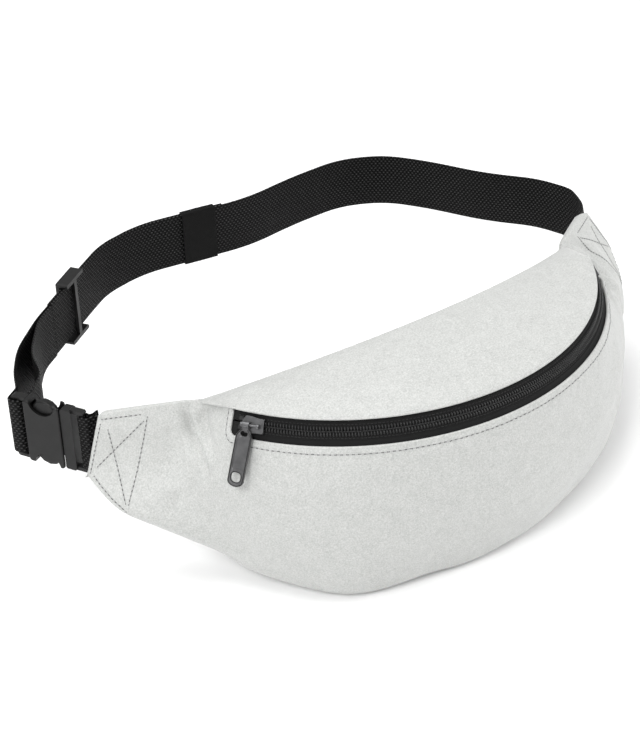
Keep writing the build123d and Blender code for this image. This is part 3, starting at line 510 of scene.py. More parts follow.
M_FABRIC = fabric_grey()
# hi (0.055 here, 0.012 for the elastic) is the painted highlight colour on the weave's crowns
M_WEB = webbing_black("belt_webbing_black", 2.8, 1.8, 0.0008, 0.055, 1.0, 0.0009)
M_ELASTIC = webbing_black("keeper_elastic_black", 1.1, 0.75, 0.0012, 0.012, 0.5, 0.0003)
M_TAPE = zip_tape_black()
M_COIL = plain("zip_coil_black", 0.008, 0.02, 0.35, 600.0, 0.45)
M_PLASTIC = plastic_black()
M_METAL = metal_gun()
M_THREAD = plain("thread_grey", (0.30, 0.305, 0.30), (0.46, 0.465, 0.46), 0.7)
# painted shade for the needle holes
M_HOLE_SHADE = plain("needle_hole_painted_shade", 0.10, 0.17, 0.9)
M_THREAD_BLACK = plain("thread_black", 0.008, 0.03, 0.6)
M_BIND = plain("binding_black", 0.012, 0.03, 0.8)

# ---------------------------------------------------------------- mesh helpers


def make(name, verts, faces, mat, body="root", uvs=None, smooth=True, angle=None):
    """A mesh from points in mm; uvs is one pair per vertex."""
    me = bpy.data.meshes.new(name)
    v = np.asarray(verts, float) * 0.001
    me.from_pydata([tuple(p) for p in v], [], faces)
    if uvs is not None:
        layer = me.uv_layers.new(name="UVMap")
        idx = np.zeros(len(me.loops), np.int32)
        me.loops.foreach_get("vertex_index", idx)
        layer.data.foreach_set("uv", np.asarray(uvs, np.float32)[idx].ravel())
    me.materials.append(mat)
    me.update()
    o = bpy.data.objects.new(name, me)
    bpy.context.scene.collection.objects.link(o)
    bm = bmesh.new()
    bm.from_mesh(me)
    bmesh.ops.recalc_face_normals(bm, faces=bm.faces)
    bm.to_mesh(me)
    bm.free()
    for p in me.polygons:
        p.use_smooth = smooth
    if angle:
        mod = o.modifiers.new("sharp", "EDGE_SPLIT")
        mod.split_angle = math.radians(angle)
    if body:
        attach(o, body)
    return o


def normals_of(P):
    du = np.gradient(P, axis=0)
    dv = np.gradient(P, axis=1)
    n = np.cross(du, dv)
    return n / np.maximum(1e-9, np.linalg.norm(n, axis=-1, keepdims=True))


def shell(name, P, thick, inward, mat, keep=None, uv=None):
    """A closed skin: grid P outside, a copy thick mm inside, and walls round every open edge."""
    N = normals_of(P)
    mid = N[P.shape[0] // 2, P.shape[1] // 2]
    if np.dot(mid, inward) < 0:
        N = -N
    Q = P + thick * N
    n, m = P.shape[:2]
    if keep is None:
        keep = np.ones((n - 1, m - 1), bool)
    idx = np.arange(n * m).reshape(n, m)
    verts = np.concatenate([P.reshape(-1, 3), Q.reshape(-1, 3)])
    off = n * m
    faces = []
    for i in range(n - 1):
        for j in range(m - 1):
            if not keep[i, j]:
                continue
            a, b, c, d = idx[i, j], idx[i + 1, j], idx[i + 1, j + 1], idx[i, j + 1]
            faces.append((a, b, c, d))
            faces.append((d + off, c + off, b + off, a + off))
            for (x, y, ii, jj) in ((a, b, i, j - 1), (b, c, i + 1, j), (c, d, i, j + 1), (d, a, i - 1, j)):
                if not (0 <= ii < n - 1 and 0 <= jj < m - 1) or not keep[ii, jj]:
                    faces.append((y, x, x + off, y + off))
    used = np.zeros(len(verts), bool)
    for f in faces:
        used[list(f)] = True
    remap = np.cumsum(used) - 1
    faces = [tuple(int(remap[k]) for k in f) for f in faces]
    if uv is None:
        su = np.concatenate([[0], np.cumsum(np.linalg.norm(np.diff(P[:, m // 2], axis=0), axis=1))])
        sv = np.concatenate([[0], np.cumsum(np.linalg.norm(np.diff(P[n // 2], axis=0), axis=1))])
        uv = np.stack(np.meshgrid(su, sv, indexing="ij"), -1)
    uvs = np.concatenate([uv.reshape(-1, 2)] * 2)[used]
    return make(name, verts[used], faces, mat, uvs=uvs)


def tube(name, pts, radius, mat, body="root", sides=10, closed=False, flat=1.0, up=None):
    """A round cord of fabric or thread along pts, in mm."""
    pts = np.asarray(pts, float)
    n = len(pts)
    d = np.gradient(pts, axis=0)
    d /= np.maximum(1e-9, np.linalg.norm(d, axis=1, keepdims=True))
    ref = np.array([0, 0, 1.0]) if up is None else np.asarray(up, float)
    verts, faces = [], []
    for i in range(n):
        a = np.cross(d[i], ref)
        a /= max(1e-9, np.linalg.norm(a))
        b = np.cross(a, d[i])
        for k in range(sides):
            t = 2 * math.pi * k / sides
            verts.append(pts[i] + radius * (math.cos(t) * a + flat * math.sin(t) * b))
    for i in range(n - 1):
        for k in range(sides):
            k2 = (k + 1) % sides
            faces.append((i * sides + k, i * sides + k2, (i + 1) * sides + k2, (i + 1) * sides + k))
    faces.append(tuple(range(sides))[::-1])
    faces.append(tuple((n - 1) * sides + k for k in range(sides)))
    return make(name, verts, faces, mat, body)


def stitches(name, P, N, mat, pitch=3.3, length=2.35, radius=0.24, hole_shade=True, body="root"):
    """Sewn thread along a line of surface points with outward normals."""
    P, N = np.asarray(P, float), np.asarray(N, float)
    seg = np.linalg.norm(np.diff(P, axis=0), axis=1)
    s = np.concatenate([[0], np.cumsum(seg)])
    verts, faces, hv, hf = [], [], [], []

    def at(x):
        return (np.array([np.interp(x, s, P[:, k]) for k in range(3)]), np.array([np.interp(x, s, N[:, k]) for k in range(3)]))

    count = int((s[-1] - length) // pitch) + 1
    for i in range(max(1, count)):
        x0 = i * pitch
        ring = []
        steps = 6
        for j in range(steps + 1):
            t = j / steps
            p, nn = at(min(s[-1], x0 + t * length))
            nn = nn / max(1e-9, np.linalg.norm(nn))
            q1, _ = at(min(s[-1], x0 + t * length + 0.1))
            q0, _ = at(max(0, x0 + t * length - 0.1))
            dd = (q1 - q0) / max(1e-9, np.linalg.norm(q1 - q0))
            side = np.cross(dd, nn)
            lift = 0.20 - 0.62 * (2 * t - 1) ** 4
            rr = radius * (1 - 0.35 * (2 * t - 1) ** 6)
            base = len(verts)
            for k in range(6):
                an = 2 * math.pi * k / 6
                verts.append(p + nn * (lift + rr * math.sin(an)) + side * rr * 1.25 * math.cos(an))
            ring.append(base)
        for a, b in zip(ring, ring[1:]):
            for k in range(6):
                k2 = (k + 1) % 6
                faces.append((a + k, a + k2, b + k2, b + k))
        faces.append(tuple(ring[0] + k for k in range(6))[::-1])
        faces.append(tuple(ring[-1] + k for k in range(6)))
        # a dark plug at each needle hole: painted shade in the hole
        if hole_shade:
            for xx in (x0 - 0.1, x0 + length + 0.1):
                p, nn = at(min(s[-1], max(0, xx)))
                nn = nn / max(1e-9, np.linalg.norm(nn))
                a1 = np.cross(nn, [0.3, 0.5, 0.81])
                a1 /= np.linalg.norm(a1)
                a2 = np.cross(nn, a1)
                base = len(hv)
                for k in range(8):
                    an = 2 * math.pi * k / 8
                    hv.append(p + nn * 0.10 + 0.40 * (math.cos(an) * a1 + math.sin(an) * a2))
                for k in range(8):
                    an = 2 * math.pi * k / 8
                    hv.append(p - nn * 0.5 + 0.30 * (math.cos(an) * a1 + math.sin(an) * a2))
                hf.append(tuple(base + k for k in range(8)))
                hf.append(tuple(base + 8 + k for k in range(8))[::-1])
                for k in range(8):
                    k2 = (k + 1) % 8
                    hf.append((base + k2, base + k, base + 8 + k, base + 8 + k2))
    o = make(name, verts, faces, mat, body)
    if hole_shade and hv:
        make(name + "_holes", hv, hf, M_HOLE_SHADE, body, smooth=False)
    return o


# ---------------------------------------------------------------- front panel with its folds
def column_at(a, ts):
    s, b = (-1 if a < 0 else 1), abs(a)
    net = body_column(b, s) if b <= 58 else [tuple(table(STATIONS, [c[k][m] for c in COLUMNS[s]], b) for m in range(3)) for k in range(9)]
    out = []
    for t in ts:
        if t < 0:
            p0 = [table(KNOTS, [c[m] for c in net], 0.0) for m in range(3)]
            p1 = [table(KNOTS, [c[m] for c in net], 1.0) for m in range(3)]
            q = [u + (u - v) * (-t) for u, v in zip(p0, p1)]
        else:
            q = [table(KNOTS, [c[m] for c in net], t) for m in range(3)]
        out.append((s * q[0], q[1], max(q[2], 0.0)))
    return out


WIN = TAPE_END + 0.7
a_list = np.unique(np.round(np.concatenate([np.linspace(-90, 90, 361), [-WIN, WIN], np.linspace(-WIN - 2.5, -WIN + 5, 31), np.linspace(WIN - 5, WIN + 2.5, 31)]), 4))
t_list = np.concatenate([np.linspace(-2.6, 0, 4)[:-1], np.linspace(0, 18, 25), np.linspace(18, 176, 118)[1:]])
F = np.array([column_at(a, t_list) for a in a_list])


def fuller(P):
    """Carries the +X wing outwards along itself, a little more towards its lower end."""
    P = np.array(P, float)
    w = np.clip((P[..., 0] - 118.0) / 72.0, 0, 1)
    w = w * w * (3 - 2 * w)
    k = 2.5 + 9.0 * np.clip((105.0 - P[..., 2]) / 30.0, 0, 1)
    P[..., 0] += 0.82 * w * k
    P[..., 1] += 0.57 * w * k * 0.6
    return P


F = fuller(F)
F_N = normals_of(F)
if np.dot(F_N[len(a_list) // 2, 60], (0, -1, 0)) < 0:
    F_N = -F_N


def folds(P, N, lines, flat_z=None):
    """Raises ridges and presses valleys along lines given in the camera's view, on the side that faces it."""
    px = project(P)
    view = CAM - P
    view /= np.linalg.norm(view, axis=-1, keepdims=True)
    face = np.clip((np.sum(view * N, -1) - 0.02) / 0.25, 0, 1)
    disp = np.zeros(P.shape[:2])
    for pts, amp, width in lines:
        pts = np.asarray(pts, float)
        best = np.full(P.shape[:2], 1e9)
        along = np.zeros(P.shape[:2])
        seg = np.linalg.norm(np.diff(pts, axis=0), axis=1)
        total = seg.sum()
        acc = 0.0
        for k in range(len(pts) - 1):
            a, b = pts[k], pts[k + 1]
            ab = b - a
            t = np.clip(((px - a) @ ab) / (ab @ ab), 0, 1)
            d = np.linalg.norm(px - (a + t[..., None] * ab), axis=-1)
            upd = d < best
            best = np.where(upd, d, best)
            along = np.where(upd, (acc + t * seg[k]) / total, along)
            acc += seg[k]
        taper = np.clip(np.minimum(along, 1 - along) * 4, 0, 1)
        taper = taper * taper * (3 - 2 * taper)
        taper = 0.15 + 0.85 * taper
        disp += amp * np.exp(-(best / width) ** 2) * taper * face
    return disp


FRONT_FOLDS = [
    ([(191, 403), (197, 424), (204, 442), (212, 461), (215, 476)], 2.9, 3.6),
    ([(186, 404), (188, 416), (194, 432), (201, 450), (206, 466), (209, 481)], -3.2, 4.0),
    ([(209, 404), (204, 413), (205, 425), (211, 441)], -2.6, 3.8),
    ([(217, 406), (214, 420), (217, 436), (222, 452)], 1.0, 5.0),
    ([(176, 408), (177, 424), (184, 446), (192, 470)], 0.9, 8.0),
    ([(225, 446), (232, 470), (242, 500)], 0.5, 9.0),
    ([(168, 520), (186, 496), (196, 478)], -0.7, 9.0),
    ([(150, 505), (170, 488), (186, 470)], 0.6, 8.0),
    # the crease between the body and the far wing
    ([(567.5, 249), (588, 258), (606, 273), (615, 289), (620, 312), (622, 330)], 3.0, 3.4),
    ([(562, 251), (580, 259), (596, 269), (606, 282), (612, 300), (615, 322)], -2.6, 3.8),
    ([(579, 238), (592, 246), (605, 261), (615, 275), (620, 290)], 1.5, 3.4),
    ([(572, 243), (588, 250), (603, 264), (613, 279)], -1.5, 3.2),
    ([(614, 300), (616, 330), (612, 362), (604, 392)], -0.9, 6.0),
    ([(624, 320), (622, 350), (616, 384)], 0.9, 6.0),
    ([(606, 330), (602, 360), (596, 384)], 0.5, 8.0),
    ([(520, 500), (545, 470), (560, 440)], 0.5, 14.0),
    ([(300, 560), (330, 540), (360, 530)], 0.4, 16.0),
    ([(420, 560), (450, 540), (480, 520)], -0.4, 14.0),
]
D = folds(F, F_N, FRONT_FOLDS)


def soft_noise(P, scale, seed):
    """Smooth repeatable unevenness from a few crossed waves."""
    r = np.random.RandomState(seed)
    out = np.zeros(P.shape[:-1])
    for _ in range(14):
        k = r.normal(size=3)
        k *= (0.6 + 0.8 * r.rand()) / np.linalg.norm(k) * 2 * math.pi / scale
        out += np.sin(P @ k + r.rand() * 6.28)
    return out / 14 ** 0.5


edge_fade = np.clip((t_list - 18) / 26.0, 0, 1)[None, :] * np.clip((176 - t_list) / 40.0, 0, 1)[None, :]
D = D * np.clip((t_list + 2.6) / 10.0, 0.25, 1)[None, :]
D += edge_fade * (0.55 * soft_noise(F, 62.0, 3) + 0.22 * soft_noise(F, 24.0, 4))
# puckers along the topstitched edge under the zip
arc = np.radians(a_list) * 153.7
pk = 0.16 * np.sin(arc * 2 * math.pi / 6.6) + 0.12 * np.sin(arc * 2 * math.pi / 9.1 + 1.0)
D += pk[:, None] * np.exp(-(((t_list - 23) / 4.0) ** 2))[None, :]
# no folds, unevenness or puckers inside the zip opening
in_zip = (t_list[None, :] <= 18.01) & (np.abs(a_list)[:, None] <= WIN + 2)
D[in_zip] *= 0.0
F2 = F + F_N * D[..., None]
F2[..., 2] = np.maximum(F2[..., 2], 0.0)

keep = np.ones((len(a_list) - 1, len(t_list) - 1), bool)
am = 0.5 * (a_list[1:] + a_list[:-1])
tm = 0.5 * (t_list[1:] + t_list[:-1])
rc = 4.6
for i, a in enumerate(am):
    for j, t in enumerate(tm):
        if t > 18 or abs(a) > WIN:
            continue
        s_ = (WIN - abs(a)) * math.pi / 180 * 153.7
        w_ = (18 - t) * 14.6 / 18
        if s_ < rc and w_ < rc and (rc - s_) ** 2 + (rc - w_) ** 2 > rc * rc:
            continue
        keep[i, j] = False
front = shell("front_panel_fabric", F2, 1.7, (0, 1, 0.1), M_FABRIC, keep=keep)
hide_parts("front_panel")


def on_front(a, t):
    """Point and outward normal on the finished front panel."""
    i = np.clip(np.searchsorted(a_list, a) - 1, 0, len(a_list) - 2)
    j = np.clip(np.searchsorted(t_list, t) - 1, 0, len(t_list) - 2)
    x = (a - a_list[i]) / (a_list[i + 1] - a_list[i])
    y = (t - t_list[j]) / (t_list[j + 1] - t_list[j])
    w = ((1 - x) * (1 - y), x * (1 - y), x * y, (1 - x) * y)
    ids = ((i, j), (i + 1, j), (i + 1, j + 1), (i, j + 1))
    p = sum(wk * F2[k] for wk, k in zip(w, ids))
    n = sum(wk * F_N[k] for wk, k in zip(w, ids))
    return p, n / np.linalg.norm(n)


def window_path(offset, n_arc=10, top_t=0.0, step=0.5):
    """(a, t) points along the zip opening's edge, offset mm outside it."""
    da = offset / 153.7 * 180 / math.pi
    dt = offset * 18 / 14.6
    r = rc + offset
    ra, rt = r / 153.7 * 180 / math.pi, r * 18 / 14.6
    out = [(-WIN - da, t) for t in np.linspace(top_t, 18 + dt - rt, 8)]
    out += [(-WIN - da + ra * (1 - math.cos(x)), 18 + dt - rt + rt * math.sin(x)) for x in np.linspace(0, math.pi / 2, n_arc)[1:]]
    mid = list(np.arange(-WIN - da + ra + step, WIN + da - ra, step))
    out += [(a, 18 + dt) for a in mid]
    out += [(WIN + da - ra * (1 - math.cos(x)), 18 + dt - rt + rt * math.sin(x)) for x in np.linspace(math.pi / 2, 0, n_arc)]
    out += [(WIN + da, t) for t in np.linspace(18 + dt - rt, top_t, 8)[1:]]
    return out


rim = [on_front(a, t) for a, t in window_path(0.15)]
tube("zip_opening_fold", [p - 0.75 * n for p, n in rim], 0.95, M_FABRIC)
row = [on_front(a, t) for a, t in window_path(2.9, top_t=-1.0)]
stitches("zip_topstitch", [p for p, n in row], [n for p, n in row], M_THREAD, pitch=3.3, length=2.3)

# ---------------------------------------------------------------- top panel
NT = 241
NW = 60
phis = np.linspace(-75.4, 75.4, NT)
T = np.zeros((NT, NW, 3))
for i, phi in enumerate(phis):
    a = abs(phi)
    if a <= TAPE_END:
        u = zip_point(phi, TAPE_HALF - 1.1, PANEL_LIFT)
    else:
        sg = math.copysign(1.0, phi)
        t = (a - TAPE_END) / (CORNER - TAPE_END)
        u = tuple(p + (q_ - p) * t for p, q_ in zip(zip_point(sg * TAPE_END, TAPE_HALF - 1.1, PANEL_LIFT), (sg * 139.2, 65.6, 113.7)))
    b = back_edge_at(phi)
    b = (b[0], b[1], b[2] + 0.4)
    wide = math.dist(u, b)
    for j in range(NW):
        t = j / (NW - 1)
        crown = 0.055 * wide * 4 * t * (1 - t)
        p = [x + (y - x) * t for x, y in zip(u, b)]
        T[i, j] = (p[0], p[1] - 0.1 * crown, p[2] + crown)
T_N = normals_of(T)
if T_N[NT // 2, NW // 2, 2] < 0:
    T_N = -T_N
TOP_FOLDS = [
    ([(214, 403), (226, 396), (244, 390), (262, 387)], 0.9, 4.0),
    ([(212, 399), (226, 391), (246, 383)], -0.8, 4.0),
    ([(268, 398), (300, 388), (330, 384)], 0.5, 7.0),
    ([(560, 262), (572, 263), (584, 268), (590, 274)], 1.1, 3.4),
    ([(556, 268), (570, 270), (583, 276)], -0.9, 3.4),
    ([(548, 262), (560, 276), (566, 292)], 0.6, 6.0),
    ([(380, 340), (430, 352), (470, 356)], 0.5, 14.0),
    ([(330, 376), (380, 372), (430, 366)], -0.5, 12.0),
    ([(470, 300), (510, 318), (540, 330)], 0.4, 12.0),
]
tt = np.linspace(0, 1, NW)[None, :]
fade = np.clip(tt * 6, 0, 1) * np.clip((1 - tt) * 8, 0, 1)
DT = folds(T, T_N, TOP_FOLDS) * (0.2 + 0.8 * fade) + fade * (0.5 * soft_noise(T, 58.0, 11) + 0.2 * soft_noise(T, 22.0, 12))
T2 = T + T_N * DT[..., None]
top = shell("top_panel_fabric", T2, 1.7, (0, 0, -1), M_FABRIC)
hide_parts("top_panel")
edge_i = [i for i in range(NT) if abs(phis[i]) <= 75.3]
tube("top_panel_front_fold", [T2[i, 0] - T_N[i, 0] * 0.85 for i in edge_i], 0.95, M_FABRIC)

# ---------------------------------------------------------------- back panel
NB, NH = 181, 60
tb = np.linspace(-1.33, 1.33, NB)
B = np.zeros((NB, NH, 3))
for i, t in enumerate(tb):
    hi, lo = back_top(t), back_low(t)
    hi = plus(hi, unit(tuple(y - x for x, y in zip(hi, lo))), 1.2)
    for j in range(NH):
        k = j / (NH - 1)
        p = [x + (y - x) * k for x, y in zip(hi, lo)]
        B[i, j] = (p[0], p[1] + 3.0 * 4 * k * (1 - k) * max(0.0, 1 - t * t / 1.2), p[2])
B = fuller(B)
B_N = normals_of(B)
if B_N[NB // 2, NH // 2, 1] < 0:
    B_N = -B_N
kk = np.linspace(0, 1, NH)[None, :]
fade = np.clip(kk * 7, 0, 1) * np.clip((1 - kk) * 7, 0, 1)
DB = fade * (0.7 * soft_noise(B, 70.0, 21) + 0.25 * soft_noise(B, 26.0, 22))
B2 = B + B_N * DB[..., None]
back = shell("back_panel_fabric", B2, 1.7, (0, -1, 0), M_FABRIC)
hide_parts("back_panel")


def strip(name, A, Bp, bulge, up, mat=M_FABRIC, n=9):
    """A rounded strip closing the gap between two edges, given as matching rows of points."""
    A, Bp = np.asarray(A, float), np.asarray(Bp, float)
    up = np.asarray(up, float)
    rows = []
    for a, b in zip(A, Bp):
        rows.append([a + (b - a) * t + up * bulge * math.sin(math.pi * t) for t in np.linspace(0, 1, n)])
    P = np.array(rows)
    return shell(name, P, 1.0, -up, mat)


# the wings' turned edges over the top
for sgn, tag in ((-1, "left"), (1, "right")):
    aa = sgn * np.linspace(77.5, 90, 40)
    fr = [on_front(a, -1.2)[0] for a in aa]
    ts = np.linspace(1.02, 1.33, 160) * sgn
    bt = np.array([B2[np.argmin(np.abs(tb - t)), 0] if False else [np.interp(t, tb, B2[:, 0, k]) for k in range(3)] for t in ts])
    pair = []
    for p in fr:
        d = (bt[:, 0] - (p[0] - sgn * 3.0)) ** 2 + (bt[:, 1] - (p[1] + 4.6)) ** 2
        pair.append(bt[np.argmin(d)])
    strip("wing_top_fold_" + tag, fr, pair, 1.1, (0, 0, 1))

# ---------------------------------------------------------------- zip
def zip_strip(name, x0, x1, phi0, phi1, mat, top_o=0.0, thick=0.7, nphi=260, nx=10):
    ph = np.linspace(phi0, phi1, nphi)
    xs = np.linspace(x0, x1, nx)
    P = np.array([[zip_point(f, x, top_o) for x in xs] for f in ph])
    uv = np.stack(np.meshgrid(np.radians(ph) * ZIP_R, xs, indexing="ij"), -1)
    return shell(name, P, thick, tuple(-v for v in zip_dirs(0)[3]), mat, uv=uv)


up_tape = zip_strip("zip_tape_upper_woven", 0.45, TAPE_HALF + 0.2, -TAPE_END, TAPE_END, M_TAPE)
lo_tape = zip_strip("zip_tape_lower_woven", -TAPE_HALF - 0.3, -0.45, -TAPE_END, TAPE_END, M_TAPE)
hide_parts("zip_tape_upper")
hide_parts("zip_tape_lower")
for sg, nm in ((1, "upper"), (-1, "lower")):
    # sewing line beside the coil, and the tape's raised selvedge
    ph = np.linspace(-62.5, 62.5, 500)
    P = [np.array(zip_point(f, sg * 3.9, 0.05)) for f in ph]
    N = [np.array(zip_dirs(f)[3]) for f in ph]
    stitches("zip_sewing_" + nm, P, N, M_THREAD_BLACK, pitch=2.2, length=1.7, radius=0.2, hole_shade=False)
    tube("zip_rib_" + nm, [np.array(zip_point(f, sg * 5.0, 0.08)) for f in ph[::3]], 0.28, M_TAPE, sides=6)


def coil(name, sg):
    """One side's row of coil teeth: flattened nylon loops that meet in the middle."""
    pitch = 1.75
    n = int(math.radians(COIL_STOP - COIL_START) * ZIP_R / pitch)
    verts, faces = [], []
    for i in range(n):
        phi = COIL_START + (i + (0.25 if sg > 0 else 0.75)) * math.degrees(pitch / ZIP_R)
        if phi > COIL_STOP - 0.1:
            break
        rad, tan, ac, ou = (np.array(v) for v in zip_dirs(phi))
        c = np.array(zip_point(phi, 0, 0))
        # centre line of the loop: from the sewn heel up over to the head past the middle, and back under
        line = []
        for k in range(9):
            t = k / 8
            x = sg * (2.65 - 2.95 * t)
            z = 0.35 + 1.08 * math.sin(math.pi * min(1, t * 1.15 + 0.12)) ** 0.8 if t < 1 else 0.75
            w = 0.18 * math.sin(math.pi * t) * (1 if sg > 0 else -1)
            line.append(c + ac * x + ou * z + tan * w)
        line = np.array(line)
        d = np.gradient(line, axis=0)
        d /= np.linalg.norm(d, axis=1, keepdims=True)
        base = len(verts)
        m = 7
        for k in range(9):
            side = tan
            upv = np.cross(side, d[k])
            head = 1.0 + 0.25 * math.exp(-((k - 7) / 1.2) ** 2)
            for q_ in range(m):
                an = 2 * math.pi * q_ / m
                verts.append(line[k] + side * 0.42 * head * math.cos(an) + upv * 0.36 * math.sin(an))
        for k in range(8):
            for q_ in range(m):
                q2 = (q_ + 1) % m
                faces.append((base + k * m + q_, base + k * m + q2, base + (k + 1) * m + q2, base + (k + 1) * m + q_))
        faces.append(tuple(base + q_ for q_ in range(m))[::-1])
        faces.append(tuple(base + 8 * m + q_ for q_ in range(m)))
    return make(name, verts, faces, M_COIL)


cu = coil("zip_coil_upper_teeth", 1)
cl = coil("zip_coil_lower_teeth", -1)
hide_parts("zip_coil_upper")
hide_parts("zip_coil_lower")

# ---------------------------------------------------------------- belt webbing
def fillet_path(pts, radii, step=1.2):
    """Points along a plan polyline with rounded corners."""
    pts = [np.array(p, float) for p in pts]
    out = [pts[0]]
    for i in range(1, len(pts) - 1):
        a, b, c = pts[i - 1], pts[i], pts[i + 1]
        u, v = (b - a) / np.linalg.norm(b - a), (c - b) / np.linalg.norm(c - b)
        turn = u[0] * v[1] - u[1] * v[0]
        ang = math.acos(max(-1, min(1, u @ v)))
        if ang < 1e-4:
            out.append(b)
            continue
        r = radii[i - 1]
        tl = r * math.tan(ang / 2)
        p0 = b - u * tl
        sgn = 1 if turn > 0 else -1
        nrm = np.array([-u[1], u[0]]) * sgn
        cen = p0 + nrm * r
        k = max(3, int(r * ang / step) + 2)
        for t in np.linspace(0, ang, k):
            ca, sa = math.cos(sgn * t), math.sin(sgn * t)
            w = p0 - cen
            out.append(cen + np.array([w[0] * ca - w[1] * sa, w[0] * sa + w[1] * ca]))
    out.append(pts[-1])
    P = np.array(out)
    s = np.concatenate([[0], np.cumsum(np.linalg.norm(np.diff(P, axis=0), axis=1))])
    keep_ = np.concatenate([[True], np.diff(s) > 1e-6])
    P, s = P[keep_], s[keep_]
    n = max(4, int(s[-1] / step))
    x = np.linspace(0, s[-1], n)
    return np.stack([np.interp(x, s, P[:, 0]), np.interp(x, s, P[:, 1])], -1)


def webbing(name, path, off, z, mat=M_WEB, lean=None, body="root", width=WEB_W, thick=WEB_T, twist=0.0, seed=1, wob=0.35):
    """A webbing strip with rolled edges along a plan path, moved sideways by off."""
    path = np.asarray(path, float)
    n = len(path)
    d = np.gradient(path, axis=0)
    d /= np.linalg.norm(d, axis=1, keepdims=True)
    side2 = np.stack([-d[:, 1], d[:, 0]], -1)
    s = np.concatenate([[0], np.cumsum(np.linalg.norm(np.diff(path, axis=0), axis=1))])
    ys, hs, vs = [], [], []
    half, ht = width / 2, thick / 2
    prof = []
    cols = 22
    for k in range(cols + 1):
        y = -half + ht + (width - thick) * k / cols
        prof.append((y, ht))
    for k in range(1, 6):
        an = math.pi / 2 - math.pi * k / 6
        prof.append((half - ht + ht * math.cos(an), ht * math.sin(an)))
    for k in range(cols + 1):
        y = half - ht - (width - thick) * k / cols
        prof.append((y, -ht))
    for k in range(1, 6):
        an = -math.pi / 2 - math.pi * k / 6
        prof.append((-half + ht + ht * math.cos(an), ht * math.sin(an)))
    m = len(prof)
    r = np.random.RandomState(seed)
    ph = r.rand(4) * 6.28
    verts, uvs = [], []
    for i in range(n):
        l = math.radians(lean[i]) if lean is not None else 0.0
        sd = np.array([side2[i, 0], side2[i, 1], 0.0])
        wv = sd * math.sin(l) + np.array([0, 0, 1.0]) * math.cos(l)
        nv = sd * math.cos(l) - np.array([0, 0, 1.0]) * math.sin(l)
        c = np.array([path[i, 0], path[i, 1], z]) + nv * off
        for y, h in prof:
            bow = 0.0
            wav = wob * (0.5 * math.sin(s[i] / 31.0 + ph[0]) + 0.3 * math.sin(s[i] / 13.0 + ph[1])) * 0.25
            verts.append(c + wv * (y + wav) + nv * (h + bow))
            uvs.append((s[i], y + (width + 3 if h < 0 else 0)))
    faces = []
    for i in range(n - 1):
        for k in range(m):
            k2 = (k + 1) % m
            faces.append((i * m + k, i * m + k2, (i + 1) * m + k2, (i + 1) * m + k))
    faces.append(tuple(range(m))[::-1])
    faces.append(tuple((n - 1) * m + k for k in range(m)))
    return make(name, verts, faces, mat, body, uvs=uvs)


_s0 = unit((ROUTE[1][0] - ROUTE[0][0], ROUTE[1][1] - ROUTE[0][1]))
start = curve([(166.9, 85.2), (178.3, 93.1), (189.5, 101.3), (195.6, 107.2), (198.8, 113.4), (ROUTE[0][0] - _s0[1] * 0.85, ROUTE[0][1] + _s0[0] * 0.85)], 50)
main = fillet_path(ROUTE, ROUTE_R)
dm = np.gradient(main, axis=0)
dm /= np.linalg.norm(dm, axis=1, keepdims=True)
main_off = main + np.stack([-dm[:, 1], dm[:, 0]], -1) * (GAP + WEB_T / 2)
full = np.concatenate([np.array(start)[:-1], main_off])
s_ = np.concatenate([[0], np.cumsum(np.linalg.norm(np.diff(full, axis=0), axis=1))])
x_ = np.linspace(0, s_[-1], int(s_[-1] / 1.3))
full = np.stack([np.interp(x_, s_, full[:, 0]), np.interp(x_, s_, full[:, 1])], -1)
LEAN = 13.5
lean = [LEAN * float(np.clip((62 - x) / 32.0, 0, 1)) for x in x_]
strap = webbing("waist_strap_webbing", full, 0.0, BELT_Z, lean=lean, seed=5)
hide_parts("waist_strap")

TAIL = [(4.0, 264.07)] + ROUTE[9:]
TAIL_R = ROUTE_R[8:]
tail = webbing("strap_tail_webbing", fillet_path(TAIL, TAIL_R), -(GAP + WEB_T / 2), BELT_Z, seed=6)
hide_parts("strap_tail")

loop_path = fillet_path(LOOP, LOOP_R, step=0.8)
loopo = webbing("strap_loop_webbing", loop_path, 0.0, 84.0, body=None, seed=8)
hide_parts("strap_loop")
e = unit((B_X[0], B_X[1], 0))
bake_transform(loopo)

# the webbing tab between the male half's bar and the wing
tab_out = curve([(-166.1, 84.8), (-178.3, 93.3), (-186.0, 98.8), (-190.1, 101.8), b_at(-4.26, -2.5), b_at(-0.2, -2.5)], 60)
arc_pts = [b_at(2.5 * math.sin(x), -2.5 * math.cos(x)) for x in np.linspace(0, math.pi, 16)]
tab_in = curve([b_at(-0.2, 2.5), b_at(-4.26, 2.5), (-183.0, 104.6)], 24)
tp = np.array(list(tab_out) + arc_pts[1:-1] + list(tab_in))
sd = np.concatenate([[0], np.cumsum(np.linalg.norm(np.diff(tp, axis=0), axis=1))])
ok = np.concatenate([[True], np.diff(sd) > 1e-4])
tp, sd = tp[ok], sd[ok]
xx = np.linspace(0, sd[-1], int(sd[-1] / 0.7))
tp = np.stack([np.interp(xx, sd, tp[:, 0]), np.interp(xx, sd, tp[:, 1])], -1)
s_out = float(np.linalg.norm(np.diff(np.array(tab_out), axis=0), axis=1).sum())
s_in0 = sd[-1] - float(np.linalg.norm(np.diff(np.array(tab_in), axis=0), axis=1).sum())
tl = []
for x in xx:
    if x < s_out:
        tl.append(-13.5 * float(np.clip((s_out - 4 - x) / 9.0, 0, 1)))
    elif x > s_in0:
        tl.append(11.5 * float(np.clip((x - s_in0 - 4) / 9.0, 0, 1)))
    else:
        tl.append(0.0)
tab = webbing("buckle_tab_webbing", tp, 0.0, BUCKLE_M[2], lean=tl, seed=9, wob=0.0)
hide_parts("buckle_webbing_tab")

